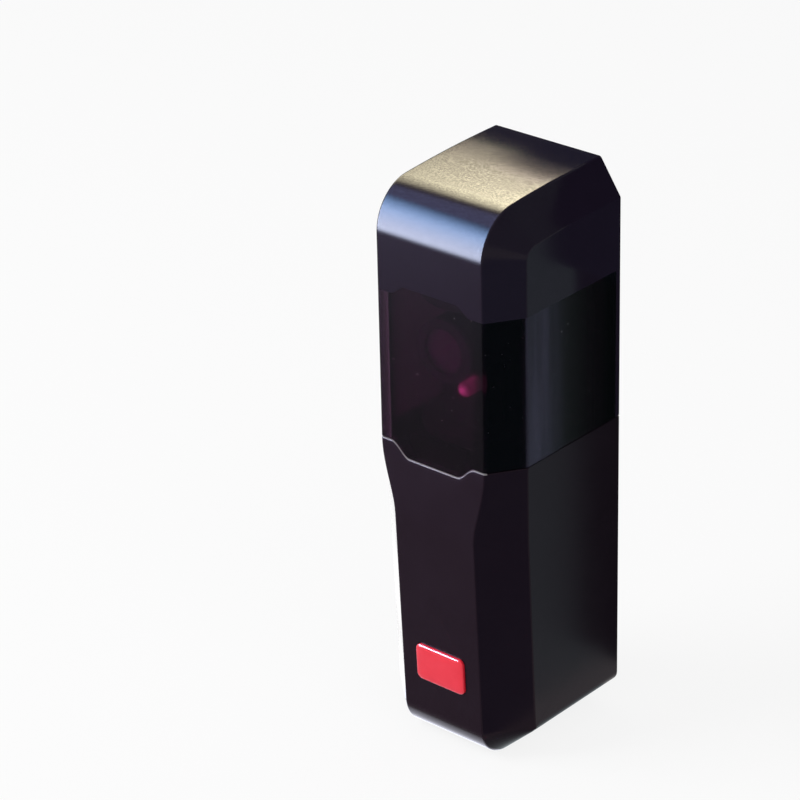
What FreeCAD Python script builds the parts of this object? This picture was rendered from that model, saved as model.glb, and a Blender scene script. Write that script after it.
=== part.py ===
# Gate photocell: slim wall-mounted infrared receiver with a swivelling eye behind a tinted window.
# Millimetres. X runs to the right seen from the front, Y points into the wall (wall face at Y = 0), Z is up.
# The origin is on the wall face, midway between the two wall-screw holes.

import FreeCAD
import Part
import Sketcher
from FreeCAD import Placement, Rotation, Vector

import os
import re

doc = FreeCAD.newDocument("gate_photocell")

# Driving dimensions: the body
SIZES = {
    "width": 34.6,
    "depth": 34.6,
    "height": 117.1,
    "wall": 2.0,
    "top_fall": 1.9,
    "top_crown": 300.0,
    "nose_round": 9.5,
    "toe_round": 7.2,
    "front_draft": 2.5,
    "corner_side": 7.0,
    "hood_corner_front": 4.7,
    "cover_corner_front": 7.6,
    "inner_corner_side": 5.7,
    "hood_inner_front": 3.8,
    "cover_inner_front": 6.3,
    "seam_level": 6.35,
    "seam_dip": 2.85,
    "seam_gap": 0.2,
    "dip_half": 5.8,
    "shoulder_half": 10.2,
    "waist_level": -9.45,
}

# Fits: slip between touching pieces, depth of a boss's root in its plate, run of a cutting tool past a face
SIZES.update({"slip": 0.1, "root": 0.4, "overrun": 1.0})

# Badge
SIZES.update({
    "badge_width": 11.8,
    "badge_height": 7.8,
    "badge_level": -40.75,
    "badge_thick": 1.4,
    "badge_sunk": 0.6,
    "badge_corner": 1.2,
    "badge_bevel": 0.5,
    "badge_margin": 0.15,
})

# Base tray, its seal and the way in for the cable
SIZES.update({
    "base_gap": 0.25,
    "tray_drop": 0.35,
    "plate": 2.4,
    "rim_height": 8.0,
    "rim_wall": 1.6,
    "boss_front": 4.0,
    "wall_screw_level": 45.5,
    "wall_screw_hole": 4.5,
    "wall_boss_round": 4.5,
    "cable_level": -34.5,
    "cable_bore": 6.0,
    "cable_hole_round": 4.6,
    "cable_boss_round": 7.2,
    "grommet_flange": 6.0,
    "grommet_recess": 1.2,
    "grommet_end": 9.0,
    "grommet_tip": 4.0,
    "seal_back": 4.4,
    "seal_front": 6.0,
    "seal_deep": 1.1,
    "seal_play": 0.05,
})

# Fastening of hood and lower cover
SIZES.update({
    "lug_inner": 10.6,
    "lug_seat": 10.5,
    "lug_thick": 2.5,
    "lug_drop": 3.4,
    "lug_rise": 3.0,
    "lug_screw_x": 12.6,
    "lug_screw_level": 1.2,
    "lug_hole": 1.5,
    "lug_post_round": 2.4,
    "tongue_half": 7.0,
    "tongue_thick": 1.3,
    "tongue_drop": 5.0,
    "tongue_rise": 2.0,
    "cover_screw_reach": 13.0,
    "cover_screw_hole": 1.7,
    "cover_boss_round": 4.2,
    "cover_boss_high": 4.4,
    "sink_round": 3.3,
    "sink_deep": 2.4,
    "screw_block_half": 4.5,
    "screw_block_low": 4.5,
    "screw_block_high": 9.0,
    "screw_block_front": 17.0,
})

# Screws: large and small core, cross slot
SIZES.update({
    "screw_core": 1.2,
    "hood_head_round": 2.3,
    "hood_head_high": 1.7,
    "hood_screw_long": 8.0,
    "small_core": 0.9,
    "bridge_head_round": 1.9,
    "bridge_head_high": 1.5,
    "bridge_screw_long": 4.5,
    "board_head_round": 2.1,
    "board_head_high": 1.6,
    "board_screw_long": 6.0,
    "core_slip": 0.05,
    "pilot_floor": 2.0,
    "slot_half": 1.1,
    "slot_wide": 0.5,
    "slot_deep": 0.8,
    "cover_slot_half": 1.5,
    "cover_slot_wide": 0.7,
    "cover_head_round": 2.9,
    "cover_head_low": 0.5,
    "cover_screw_tip": 8.5,
})

# Swivelling eye and its bearings
SIZES.update({
    "pivot_y": -19.0,
    "pivot_gap": 0.3,
    "eye_level": 26.3,
    "turret_round": 11.5,
    "turret_low": 7.4,
    "turret_high": 36.6,
    "turret_mouth": 3.0,
    "drum_wall": 1.5,
    "drum_floor": 1.8,
    "drum_roof": 1.6,
    "stub_round": 3.3,
    "stub_drop": 2.3,
    "lead_way": 1.5,
    "pin_round": 2.3,
    "pin_high": 2.8,
    "tube_round": 6.4,
    "tube_bore": 5.2,
    "tube_back": 9.9,
    "tube_front": 29.7,
    "web_half": 4.5,
    "web_front": 25.0,
    "rib_half": 1.0,
    "lens_back": 2.4,
    "lens_bulge": 1.3,
    "lens_clear": 4.4,
    "lens_ring_thick": 0.8,
    "diode_back": 10.3,
    "diode_front": 11.5,
    "diode_half": 2.7,
    "diode_tall": 2.15,
    "diode_thick": 2.6,
    "pane_inset": 0.6,
    "pane_thick": 0.3,
    "lamp_x": 3.4,
    "lamp_level": 18.8,
    "lamp_back": 25.0,
    "lamp_front": 29.4,
    "lamp_round": 1.5,
    "lamp_tip": 0.8,
    "lamp_post_half": 2.0,
    "shelf_level": 6.2,
    "shelf_half": 7.0,
    "shelf_thick": 2.0,
    "shelf_front": 24.0,
    "washer_round": 5.2,
    "washer_thick": 0.8,
    "bridge_seat": 5.0,
    "bridge_seat_half": 9.4,
    "bridge_level": 37.0,
    "bridge_half": 9.2,
    "bridge_high": 4.2,
    "bridge_thick": 2.0,
    "bridge_arm_half": 5.0,
    "bridge_front": 23.5,
    "bridge_screw_x": 7.2,
})

# Circuit board and what stands on it
SIZES.update({
    "board_back": 8.6,
    "board_front": 10.2,
    "board_half": 13.0,
    "board_low": -27.0,
    "board_high": -2.5,
    "board_screw_x": 10.5,
    "board_screw_level": -5.5,
    "board_hole": 1.3,
    "board_post_round": 2.3,
    "board_rest_round": 1.5,
    "board_rest_level": -24.5,
    "pole_pitch": 5.0,
    "terminal_front": 20.0,
    "terminal_high": 8.5,
    "well_level": -21.8,
    "well_round": 1.8,
    "well_deep": 4.0,
    "mouth_half": 1.6,
    "mouth_high": 6.6,
    "mouth_deep": 8.0,
    "clamp_wall": 0.4,
    "head_sunk": 1.8,
    "relay_left": -12.7,
    "relay_right": -0.3,
    "relay_low": -17.8,
    "relay_high": -8.8,
    "relay_front": 20.0,
    "relay_bevel": 0.5,
    "can_x": 9.4,
    "can_level": -12.5,
    "can_front": 19.2,
    "can_round": 3.15,
    "can_foot": 1.1,
    "can_groove": 0.4,
    "chip_x": 2.9,
    "chip_level": -14.0,
    "chip_half": 1.95,
    "chip_tall": 2.45,
    "chip_thick": 1.6,
    "chip_lift": 0.15,
    "leg_pitch": 1.27,
    "leg_reach": 2.9,
    "leg_half": 0.2,
    "jumper_x": -5.6,
    "jumper_level": -5.6,
    "jumper_half": 1.25,
    "jumper_tall": 2.5,
    "pin_half": 0.32,
    "pin_reach": 8.2,
    "cap_end": 8.8,
    "socket_half": 3.0,
    "socket_tall": 2.2,
    "socket_wall": 0.6,
    "socket_reach": 5.0,
    "plug_end": 6.2,
    "lead_level": -5.6,
    "lead_half": 1.0,
    "lead_thick": 0.9,
    "lead_bend": 2.0,
})

# The two mirrored sides, as a name and the sign in front of an expression
SIDES = (("right", ""), ("left", "-"))

# Share of the S-shaped narrowing reached at each share of the neck's height, from the waist up
NECK = ((0, 0), (0.25, 0.22), (0.5, 0.57), (0.75, 0.87), (1, 1))

sheet = doc.addObject("Spreadsheet::Sheet", "Sizes")
for row, (alias, number) in enumerate(SIZES.items(), start=1):
    sheet.set(f"A{row}", alias)
    sheet.set(f"B{row}", str(number))
    sheet.setAlias(f"B{row}", alias)
doc.recompute()


def bound(text):
    """Expression text with every driving dimension pointed at the sheet."""
    return re.sub(r"[a-z_]{3,}", lambda word: "Sizes." + word[0] if word[0] in SIZES else word[0], str(text))


def value(text):
    """Number that an expression gives with the sheet as it stands."""
    return float(sheet.evalExpression(re.sub(r"Sizes\.", "", bound(text))))


# Parametric solids placed by expressions
def place(solid, x, y, z):
    for axis, text in zip("xyz", (x, y, z)):
        solid.setExpression(f"Placement.Base.{axis}", bound(text))
    return solid


def around(centre, half):
    """Low and high end of a span about its middle."""
    return (f"{centre} - ({half})", f"{centre} + {half}")


def block(name, x, y, z):
    """Box between two expressions along each axis."""
    solid = doc.addObject("Part::Box", name)
    for side, (low, high) in zip(("Length", "Width", "Height"), (x, y, z)):
        solid.setExpression(side, bound(f"({high}) - ({low})"))
    return place(solid, x[0], y[0], z[0])


def upright(name, x, y, low, high, radius):
    """Cylinder along Z."""
    solid = doc.addObject("Part::Cylinder", name)
    solid.setExpression("Radius", bound(radius))
    solid.setExpression("Height", bound(f"({high}) - ({low})"))
    return place(solid, x, y, low)


def forward(name, x, z, back, front, radius):
    """Cylinder pointing at the front, between two distances from the wall."""
    solid = doc.addObject("Part::Cylinder", name)
    solid.Placement = Placement(Vector(), Rotation(Vector(1, 0, 0), 90))
    solid.setExpression("Radius", bound(radius))
    solid.setExpression("Height", bound(f"({front}) - ({back})"))
    return place(solid, x, f"-({back})", z)


def forward_cone(name, x, z, back, front, back_radius, front_radius):
    """Cone pointing at the front, between two distances from the wall."""
    solid = doc.addObject("Part::Cone", name)
    solid.Placement = Placement(Vector(), Rotation(Vector(1, 0, 0), 90))
    solid.setExpression("Radius1", bound(back_radius))
    solid.setExpression("Radius2", bound(front_radius))
    solid.setExpression("Height", bound(f"({front}) - ({back})"))
    return place(solid, x, f"-({back})", z)


def joined(name, solids):
    result = doc.addObject("Part::MultiFuse", name)
    result.Shapes = solids
    result.Refine = True
    return result


def without(name, solid, tools):
    result = doc.addObject("Part::Cut", name)
    result.Base = solid
    result.Tool = tools[0] if len(tools) == 1 else joined(f"{name}_tools", tools)
    result.Refine = True
    return result


def group(name, solids):
    """Several separate solids that are one kind of piece."""
    result = doc.addObject("Part::Compound", name)
    result.Links = solids
    return result


# Sketches and body features
def sketch(body, name, plane, offset=None):
    made = body.newObject("Sketcher::SketchObject", name)
    origin_plane = [item for item in body.Origin.OriginFeatures if item.Role == plane][0]
    made.AttachmentSupport = [(origin_plane, "")]
    made.MapMode = "FlatFace"
    if offset is not None:
        made.setExpression("AttachmentOffset.Base.z", bound(offset))
    return made


def pin_point(made, curve, point, x, y):
    """Holds a sketch point at two expressions."""
    for kind, text, axis in (("DistanceX", x, -2), ("DistanceY", y, -1)):
        number = value(text)
        if abs(number) < 1e-9:
            made.addConstraint(Sketcher.Constraint("PointOnObject", curve, point, axis))
        else:
            index = made.addConstraint(Sketcher.Constraint(kind, -1, 1, curve, point, number))
            made.setExpression(f"Constraints[{index}]", bound(text))


def arc_between(start, end, radius, turn):
    """Arc of a given radius from start to end; turn is 1 for a left bend and -1 for a right bend."""
    chord = end - start
    across = Vector(-chord.y, chord.x, 0).normalize() * turn
    sagitta_side = max(radius ** 2 - chord.Length ** 2 / 4, 0) ** 0.5
    centre = (start + end) * 0.5 + across * sagitta_side
    first, last = (start, end) if turn > 0 else (end, start)
    circle = Part.Circle(centre, Vector(0, 0, 1), radius)
    return Part.ArcOfCircle(circle, circle.parameter(first), circle.parameter(last))


def outline(made, corners):
    """Closed outline through corners given as expressions; a corner may add an arc's radius and turn."""
    spots = [Vector(value(corner[0]), value(corner[1]), 0) for corner in corners]
    count = len(corners)
    ends = []
    for i, corner in enumerate(corners):
        start, end = spots[i], spots[(i + 1) % count]
        if len(corner) == 2:
            ends.append((made.addGeometry(Part.LineSegment(start, end), False), 1, 2))
        else:
            radius, turn = corner[2:]
            curve = made.addGeometry(arc_between(start, end, value(radius), turn), False)
            ends.append((curve, 1, 2) if turn > 0 else (curve, 2, 1))
    for i, corner in enumerate(corners):
        curve, first, last = ends[i]
        following, following_first, _ = ends[(i + 1) % count]
        made.addConstraint(Sketcher.Constraint("Coincident", curve, last, following, following_first))
        pin_point(made, curve, first, corner[0], corner[1])
        if len(corner) > 2:
            index = made.addConstraint(Sketcher.Constraint("Radius", curve, value(corner[2])))
            made.setExpression(f"Constraints[{index}]", bound(corner[2]))
    return made


def pad(body, profile, length, name, side="One side", reverse=False, kind="PartDesign::Pad"):
    feature = body.newObject(kind, name)
    feature.Profile = profile
    feature.setExpression("Length", bound(length))
    feature.SideType = side
    feature.Reversed = reverse
    profile.Visibility = False
    doc.recompute()
    return feature


def edges(feature, test):
    """Names of the edges whose midpoint passes a test."""
    return [f"Edge{i}" for i, edge in enumerate(feature.Shape.Edges, start=1) if test(edge.CenterOfMass)]


def rounded(body, feature, test, radius, name):
    names = edges(feature, test)
    fillet = body.newObject("PartDesign::Fillet", name)
    fillet.Base = (feature, names)
    fillet.setExpression("Radius", bound(radius))
    doc.recompute()
    return fillet


def bevelled(body, feature, test, front, side, name):
    """Uneven corner bevel: one distance on the front and top, another on the sides."""
    chamfer = body.newObject("PartDesign::Chamfer", name)
    chamfer.Base = (feature, edges(feature, test))
    chamfer.ChamferType = "Two distances"
    chamfer.setExpression("Size", bound(front))
    chamfer.setExpression("Size2", bound(side))
    doc.recompute()
    return chamfer


def on_flank(half):
    """Test for the edges of an upright block's two side faces, apart from its rear and its open end."""
    return lambda spot: abs(abs(spot.x) - half) < 0.01 and spot.y < -0.5


# Hood: a side profile with a crowned top, padded across, rounded at the nose and bevelled round its corners
def hood_block(name, inset, corner_front, corner_side, low):
    body = doc.addObject("PartDesign::Body", name)
    top = f"height / 2 - {inset}"
    front = f"-depth + {inset}"
    profile = outline(sketch(body, f"{name}_profile", "YZ_Plane"), [
        ("0", low),
        ("0", top, f"top_crown - {inset}", 1),
        (front, f"{top} - top_fall"),
        (front, low),
    ])
    feature = pad(body, profile, f"width - 2 * {inset}", f"{name}_pad", side="Symmetric")
    nose = value(f"{top} - top_fall")
    feature = rounded(body, feature, lambda spot: abs(spot.z - nose) < 0.01 and abs(spot.x) < 0.01,
                      f"nose_round - {inset}", f"{name}_nose")
    flank = on_flank(value(f"width / 2 - {inset}"))
    bottom = value(low)
    bevelled(body, feature, lambda spot: flank(spot) and spot.z > bottom + 0.1, corner_front, corner_side,
             f"{name}_corners")
    return body


# Lower block: the front leans back towards a rounded toe, and the wide corner bevel runs on under the bottom
def lower_block(name, inset, corner_front, corner_side, high):
    body = doc.addObject("PartDesign::Body", name)
    low = f"-height / 2 + {inset}"
    front = f"-depth + {inset}"
    lean = f"({high} + height / 2 - {inset}) * tan(front_draft * 1 deg)"
    corners = [("0", low), ("0", high), (front, high), (f"{front} + {lean}", low)]
    profile = outline(sketch(body, f"{name}_profile", "YZ_Plane"), corners)
    feature = pad(body, profile, f"width - 2 * {inset}", f"{name}_pad", side="Symmetric")
    toe, middle = value(low), -value("depth") / 2
    feature = rounded(body, feature,
                      lambda spot: abs(spot.z - toe) < 0.01 and spot.y < middle and abs(spot.x) < 0.01,
                      f"toe_round - {inset} / 2", f"{name}_toe")
    flank = on_flank(value(f"width / 2 - {inset}"))
    roof = value(high)
    bevelled(body, feature, lambda spot: flank(spot) and spot.z < roof - 0.1, corner_front, corner_side,
             f"{name}_corners")
    return body


# Seam between hood and lower cover, drawn from the front: level at the sides, dipping in the middle
def seam_tool(name, shift, far):
    """Solid on one side of the seam line, cutting straight through from front to wall."""
    body = doc.addObject("PartDesign::Body", name)
    level = f"seam_level + {shift}"
    low = f"seam_level - seam_dip + {shift}"
    middle = f"seam_level - seam_dip / 2 + {shift}"
    bend = "((shoulder_half - dip_half) ^ 2 + seam_dip ^ 2) / (4 * seam_dip)"
    slope_x = "(shoulder_half + dip_half) / 2"
    edge = "width"
    line = outline(sketch(body, f"{name}_line", "XZ_Plane"), [
        (f"-{edge}", far),
        (f"-{edge}", level),
        ("-shoulder_half", level, bend, -1),
        (f"-{slope_x}", middle, bend, 1),
        ("-dip_half", low),
        ("dip_half", low, bend, 1),
        (slope_x, middle, bend, -1),
        ("shoulder_half", level),
        (edge, level),
        (edge, far),
    ])
    pad(body, line, "3 * depth", f"{name}_cut", side="Symmetric")
    return body


# Hood with two inner lugs that take its screws
def lug_blocks(tag, sign):
    """Lug on one inner side: a root in the hood's wall and a tab below the seam, clear of the cover."""
    y = ("-lug_seat - lug_thick", "-lug_seat")
    tab = ("lug_inner", "width / 2 - wall - base_gap")
    root = ("lug_inner", "width / 2 - wall / 2")
    if sign:
        tab, root = [(f"-({outer})", f"-({inner})") for inner, outer in (tab, root)]
    return [
        block(f"lug_tab_{tag}", tab, y, ("lug_screw_level - lug_drop", "seam_level + seam_gap")),
        block(f"lug_root_{tag}", root, y, ("seam_level + seam_gap", "seam_level + lug_rise")),
    ]


def make_hood():
    outer = hood_block("hood_outer", "0", "hood_corner_front", "corner_side", "seam_level - 2 * seam_dip")
    hollow = hood_block("hood_hollow", "wall", "hood_inner_front", "inner_corner_side",
                        "seam_level - 3 * seam_dip")
    below = seam_tool("hood_seam", "seam_gap / 2", "-height / 2")
    solids = [without("hood_shell", outer, [hollow, below])]
    holes = []
    for tag, sign in SIDES:
        solids += lug_blocks(tag, sign)
        holes.append(forward(f"lug_hole_{tag}", f"{sign}lug_screw_x", "lug_screw_level", "lug_seat - overrun",
                             "lug_seat + lug_thick + overrun", "lug_hole"))
    return without("hood", joined("hood_with_lugs", solids), holes)


# Lower cover: the neck narrows the front in a soft S below the seam, the block carries it on down to the toe
def cover_neck(name):
    body = doc.addObject("PartDesign::Body", name)
    sections = []
    for step, share in NECK:
        level = f"waist_level + {step} * (seam_level - waist_level)"
        crease = f"width / 2 - cover_corner_front + {share} * (cover_corner_front - hood_corner_front)"
        flank = "-depth + corner_side / cos(front_draft * 1 deg)"
        sections.append(outline(sketch(body, f"{name}_section_{len(sections)}", "XY_Plane", offset=level), [
            ("-width / 2", "0"),
            ("width / 2", "0"),
            ("width / 2", flank),
            (crease, "-depth"),
            (f"-({crease})", "-depth"),
            ("-width / 2", flank),
        ]))
    doc.recompute()
    loft = body.newObject("PartDesign::AdditiveLoft", f"{name}_loft")
    loft.Profile = sections[0]
    loft.Sections = sections[1:]
    doc.recompute()
    return body


def make_lower_cover():
    outer = lower_block("cover_outer", "0", "cover_corner_front", "corner_side", "waist_level")
    full = joined("cover_full", [outer, cover_neck("cover_neck")])
    hollow = lower_block("cover_hollow", "wall", "cover_inner_front", "inner_corner_side",
                         "seam_level + overrun")
    above = seam_tool("cover_seam", "-seam_gap / 2", "height / 2")
    shell = without("cover_shell", full, [hollow, above])
    floor = "-height / 2"
    inside = "-depth + wall + slip"
    screw_y = "-cover_screw_reach"
    tongue = block("cover_tongue", ("-tongue_half", "tongue_half"), (inside, f"{inside} + tongue_thick"),
                   ("seam_level - seam_dip - tongue_drop", "seam_level + tongue_rise"))
    boss = upright("cover_boss", "0", screw_y, f"{floor} + wall - slip", f"{floor} + cover_boss_high",
                   "cover_boss_round")
    sink = upright("cover_sink", "0", screw_y, f"{floor} - overrun", f"{floor} + sink_deep", "sink_round")
    hole = upright("cover_hole", "0", screw_y, floor, f"{floor} + cover_boss_high + overrun",
                   "cover_screw_hole")
    recess = badge_plate("badge_recess", "badge_margin")
    return without("lower_cover", joined("cover_with_boss", [shell, tongue, boss]), [sink, hole, recess])


# Badge: a blank bevelled plate let into the leaning front
def badge_plate(name, margin):
    body = doc.addObject("PartDesign::Body", name)
    half_x = f"badge_width / 2 + {margin}"
    half_z = f"badge_height / 2 + {margin}"
    face = outline(sketch(body, f"{name}_face", "XZ_Plane"), [
        (f"-({half_x})", f"-({half_z})"),
        (half_x, f"-({half_z})"),
        (half_x, half_z),
        (f"-({half_x})", half_z),
    ])
    feature = pad(body, face, "badge_thick", f"{name}_pad")
    corner_x, corner_z = value(half_x), value(half_z)
    rounded(body, feature,
            lambda spot: abs(abs(spot.x) - corner_x) < 0.01 and abs(abs(spot.z) - corner_z) < 0.01,
            "badge_corner", f"{name}_corners")
    body.Placement = Placement(Vector(), Rotation(Vector(1, 0, 0), value("front_draft")))
    lean = "(waist_level - badge_level) * tan(front_draft * 1 deg)"
    return place(body, "0", f"-depth + {lean} + badge_sunk", "badge_level")


def make_badge():
    body = badge_plate("badge", "0")
    face = -value("badge_thick")
    bevelled(body, body.Tip, lambda spot: abs(spot.y - face) < 0.01, "badge_bevel", "badge_bevel",
             "badge_edge")
    return body


# Base: a shallow tray that fits inside both covers
def tray_outline(made, inset):
    side = f"width / 2 - ({inset})"
    top = f"height / 2 - ({inset}) - tray_drop"
    return outline(made, [
        (f"-({side}) + cover_inner_front", f"-({top})"),
        (f"{side} - cover_inner_front", f"-({top})"),
        (side, f"-({top}) + inner_corner_side"),
        (side, f"{top} - inner_corner_side"),
        (f"{side} - hood_inner_front", top),
        (f"-({side}) + hood_inner_front", top),
        (f"-({side})", f"{top} - inner_corner_side"),
        (f"-({side})", f"-({top}) + inner_corner_side"),
    ])


def tray_plate(name, inset, back, front):
    """Plate of the tray's outline between two distances from the wall."""
    body = doc.addObject("PartDesign::Body", name)
    made = tray_outline(sketch(body, f"{name}_outline", "XZ_Plane", offset=back), inset)
    pad(body, made, f"({front}) - ({back})", f"{name}_pad")
    return body


def make_base():
    edge = "wall + base_gap"
    inside = "plate - root"
    floor = "-height / 2"
    groove_stock = block("seal_groove_stock", around("0", "width"), ("-seal_front", "-seal_back"),
                         around("0", "height"))
    groove_floor = tray_plate("seal_groove_floor", "wall + seal_deep + seal_play", "seal_back - overrun",
                              "seal_front + overrun")
    solids = [
        without("base_tray", tray_plate("base_rim", edge, "0", "rim_height"),
                [tray_plate("base_inside", f"{edge} + rim_wall", "plate", "rim_height + overrun")]),
        block("base_shelf", ("-shelf_half", "shelf_half"), ("-shelf_front", f"-({inside})"),
              ("shelf_level - shelf_thick", "shelf_level")),
        block("base_bridge_seat", ("-bridge_seat_half", "bridge_seat_half"), ("-bridge_seat", f"-({inside})"),
              ("bridge_level - 2 * slip", "bridge_level + bridge_high + 2 * slip")),
        block("base_screw_block", around("0", "screw_block_half"), ("-screw_block_front", f"-({inside})"),
              (f"{floor} + screw_block_low", f"{floor} + screw_block_high")),
        forward("base_cable_boss", "0", "cable_level", inside, "boss_front", "cable_boss_round"),
    ]
    holes = [
        forward("cable_hole", "0", "cable_level", "-overrun", "boss_front + overrun", "cable_hole_round"),
        forward("cable_recess", "0", "cable_level", "-overrun", "grommet_recess",
                "grommet_flange + 2 * slip"),
        upright("shelf_bore", "0", "pivot_y", "shelf_level - shelf_thick - overrun", "shelf_level + overrun",
                "stub_round + pivot_gap"),
        upright("cover_screw_pilot", "0", "-cover_screw_reach", f"{floor} + screw_block_low - overrun",
                f"{floor} + screw_block_high - 2 * slip", "screw_core"),
        without("seal_groove", groove_stock, [groove_floor]),
    ]
    for tag, level in (("high", "wall_screw_level"), ("low", "-wall_screw_level")):
        solids.append(forward(f"base_wall_boss_{tag}", "0", level, inside, "boss_front", "wall_boss_round"))
        holes.append(forward(f"wall_hole_{tag}", "0", level, "-overrun", "boss_front + overrun",
                             "wall_screw_hole / 2"))
    for tag, sign in SIDES:
        lug_x = f"{sign}lug_screw_x"
        board_x = f"{sign}board_screw_x"
        bridge_x = f"{sign}bridge_screw_x"
        solids += [
            forward(f"base_lug_post_{tag}", lug_x, "lug_screw_level", inside, "lug_seat", "lug_post_round"),
            forward(f"base_board_post_{tag}", board_x, "board_screw_level", inside, "board_back",
                    "board_post_round"),
            forward(f"base_board_rest_{tag}", board_x, "board_rest_level", inside, "board_back",
                    "board_rest_round"),
        ]
        holes += [
            forward(f"lug_pilot_{tag}", lug_x, "lug_screw_level", "pilot_floor", "lug_seat + overrun",
                    "screw_core"),
            forward(f"board_pilot_{tag}", board_x, "board_screw_level", "pilot_floor", "board_back + overrun",
                    "small_core"),
            forward(f"bridge_pilot_{tag}", bridge_x, "bridge_level + bridge_high / 2", "pilot_floor / 2",
                    "bridge_seat + overrun", "small_core"),
        ]
    return without("base", joined("base_solid", solids), holes)


def make_rim_seal():
    outer = tray_plate("seal_outer", "wall", "seal_back + seal_play", "seal_front - seal_play")
    inner = tray_plate("seal_inner", "wall + seal_deep", "seal_back - overrun", "seal_front + overrun")
    return without("rim_seal", outer, [inner])


def turned(name, plane, shift, corners, axis):
    """Solid of revolution about an axis of a shifted sketch."""
    body = doc.addObject("PartDesign::Body", name)
    profile = sketch(body, f"{name}_profile", plane)
    for letter, text in zip("xyz", shift):
        profile.setExpression(f"AttachmentOffset.Base.{letter}", bound(text))
    outline(profile, corners)
    turn = body.newObject("PartDesign::Revolution", f"{name}_turn")
    turn.Profile = profile
    turn.ReferenceAxis = (profile, [axis])
    turn.Angle = 360
    profile.Visibility = False
    doc.recompute()
    return body


def make_cable_grommet():
    """Rubber bush whose neck sits in the base's hole, a flange on each side and a sleeve tapering inwards."""
    bore = "cable_bore / 2"
    neck = "cable_hole_round - slip"
    rear = "-grommet_recess + seal_play"
    front = "-boss_front - seal_play"
    return turned("cable_grommet", "YZ_Plane", ("0", "cable_level", "0"), [
        ("-slip", bore),
        ("-slip", "grommet_flange"),
        (rear, "grommet_flange"),
        (rear, neck),
        (front, neck),
        (front, "grommet_flange"),
        (f"{front} - grommet_recess", "grommet_flange"),
        ("-grommet_end", "grommet_tip"),
        ("-grommet_end", bore),
    ], "H_Axis")


# Screws: a pan head on a plain core, with a cross slot cut in the head
def screw(name, kind, x, z, seat, core):
    """Screw driven from the front; its head rests at a distance from the wall."""
    top = f"{seat} + {kind}_head_high"
    head = forward(f"{name}_head", x, z, seat, top, f"{kind}_head_round")
    tip = f"{seat} - {kind}_screw_long"
    shank = forward(f"{name}_core", x, z, tip, f"{seat} + slip", f"{core} - core_slip")
    deep = (f"-({top}) - slip", f"-({top}) + slot_deep")
    slots = []
    for tag, across, tall in (("flat", "slot_half", "slot_wide / 2"), ("tall", "slot_wide / 2", "slot_half")):
        slots.append(block(f"{name}_slot_{tag}", around(x, across), deep, around(z, tall)))
    return without(name, joined(f"{name}_solid", [head, shank]), slots)


def screw_pair(name, kind, x, z, seat, core):
    return group(name, [screw(f"{name}_{tag}", kind, f"{sign}{x}", z, seat, core) for tag, sign in SIDES])


def make_cover_screw():
    """Screw driven upwards through the floor of the lower cover into the base."""
    floor = "-height / 2"
    reach = "-cover_screw_reach"
    head = upright("cover_screw_head", "0", reach, f"{floor} + cover_head_low", f"{floor} + sink_deep",
                   "cover_head_round")
    core = upright("cover_screw_core", "0", reach, f"{floor} + sink_deep - slip",
                   f"{floor} + cover_screw_tip", "screw_core - core_slip")
    deep = (floor, f"{floor} + cover_head_low + slot_deep")
    slots = []
    for tag, across, along in (("wide", "cover_slot_half", "cover_slot_wide / 2"),
                               ("long", "cover_slot_wide / 2", "cover_slot_half")):
        slots.append(block(f"cover_screw_slot_{tag}", (f"-{across}", across),
                           (f"{reach} - {along}", f"{reach} + {along}"), deep))
    return without("cover_screw", joined("cover_screw_solid", [head, core]), slots)


# Swivelling optics
def make_optic_turret():
    """Half-open drum on a hollow lower stub and an upper pin, carrying the lens tube and the lamp's post."""
    inner = "turret_round - drum_wall"
    floor = "turret_low + drum_floor"
    roof = "turret_high - drum_roof"
    drum = turned("turret_drum", "YZ_Plane", ("pivot_y", "0", "0"), [
        ("lead_way", "shelf_level - stub_drop"),
        ("stub_round", "shelf_level - stub_drop"),
        ("stub_round", "turret_low"),
        ("turret_round", "turret_low"),
        ("turret_round", "turret_high"),
        ("pin_round", "turret_high"),
        ("pin_round", "turret_high + pin_high"),
        ("0", "turret_high + pin_high"),
        ("0", roof),
        (inner, roof),
        (inner, floor),
        ("lead_way", floor),
    ], "V_Axis")
    mouth = block("turret_opening", around("0", "width"), ("-2 * depth", "pivot_y + turret_mouth"),
                  (floor, roof))
    web = ("-web_front", "pivot_y - slip")
    solids = [
        without("turret_open_drum", drum, [mouth]),
        forward("turret_tube", "0", "eye_level", "tube_back", "tube_front", "tube_round"),
        block("turret_web", ("-web_half", "web_half"), web, (f"{floor} - 2 * slip", "eye_level - tube_bore")),
        block("turret_rib", ("-rib_half", "rib_half"), ("-web_front", "-tube_back"),
              ("eye_level + tube_bore", f"{roof} + 2 * slip")),
        block("turret_lamp_post", around("lamp_x", "lamp_post_half"), ("-lamp_back", "pivot_y - slip"),
              around("lamp_level", "lamp_post_half")),
    ]
    bore = forward("turret_bore", "0", "eye_level", "tube_back - root", "tube_front + overrun", "tube_bore")
    return without("optic_turret", joined("turret_solid", solids), [bore])


def make_lens():
    """Lens with a flat back, a seat the size of the tube's bore and a bulging front."""
    rim = "tube_bore - slip"
    return turned("lens", "YZ_Plane", ("0", "eye_level", "0"), [
        ("-tube_front + lens_back", "0"),
        ("-tube_front + lens_back", rim),
        ("-tube_front", rim),
        ("-tube_front", "lens_clear", "(lens_clear ^ 2 + lens_bulge ^ 2) / (2 * lens_bulge)", 1),
        ("-tube_front - lens_bulge", "0"),
    ], "H_Axis")


def make_lens_ring():
    stock = forward("lens_ring_stock", "0", "eye_level", "tube_front", "tube_front + lens_ring_thick",
                    "tube_round")
    hole = forward("lens_ring_hole", "0", "eye_level", "tube_front - overrun", "tube_front + 2 * overrun",
                   "lens_clear + slip")
    return without("lens_ring", stock, [hole])


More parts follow.
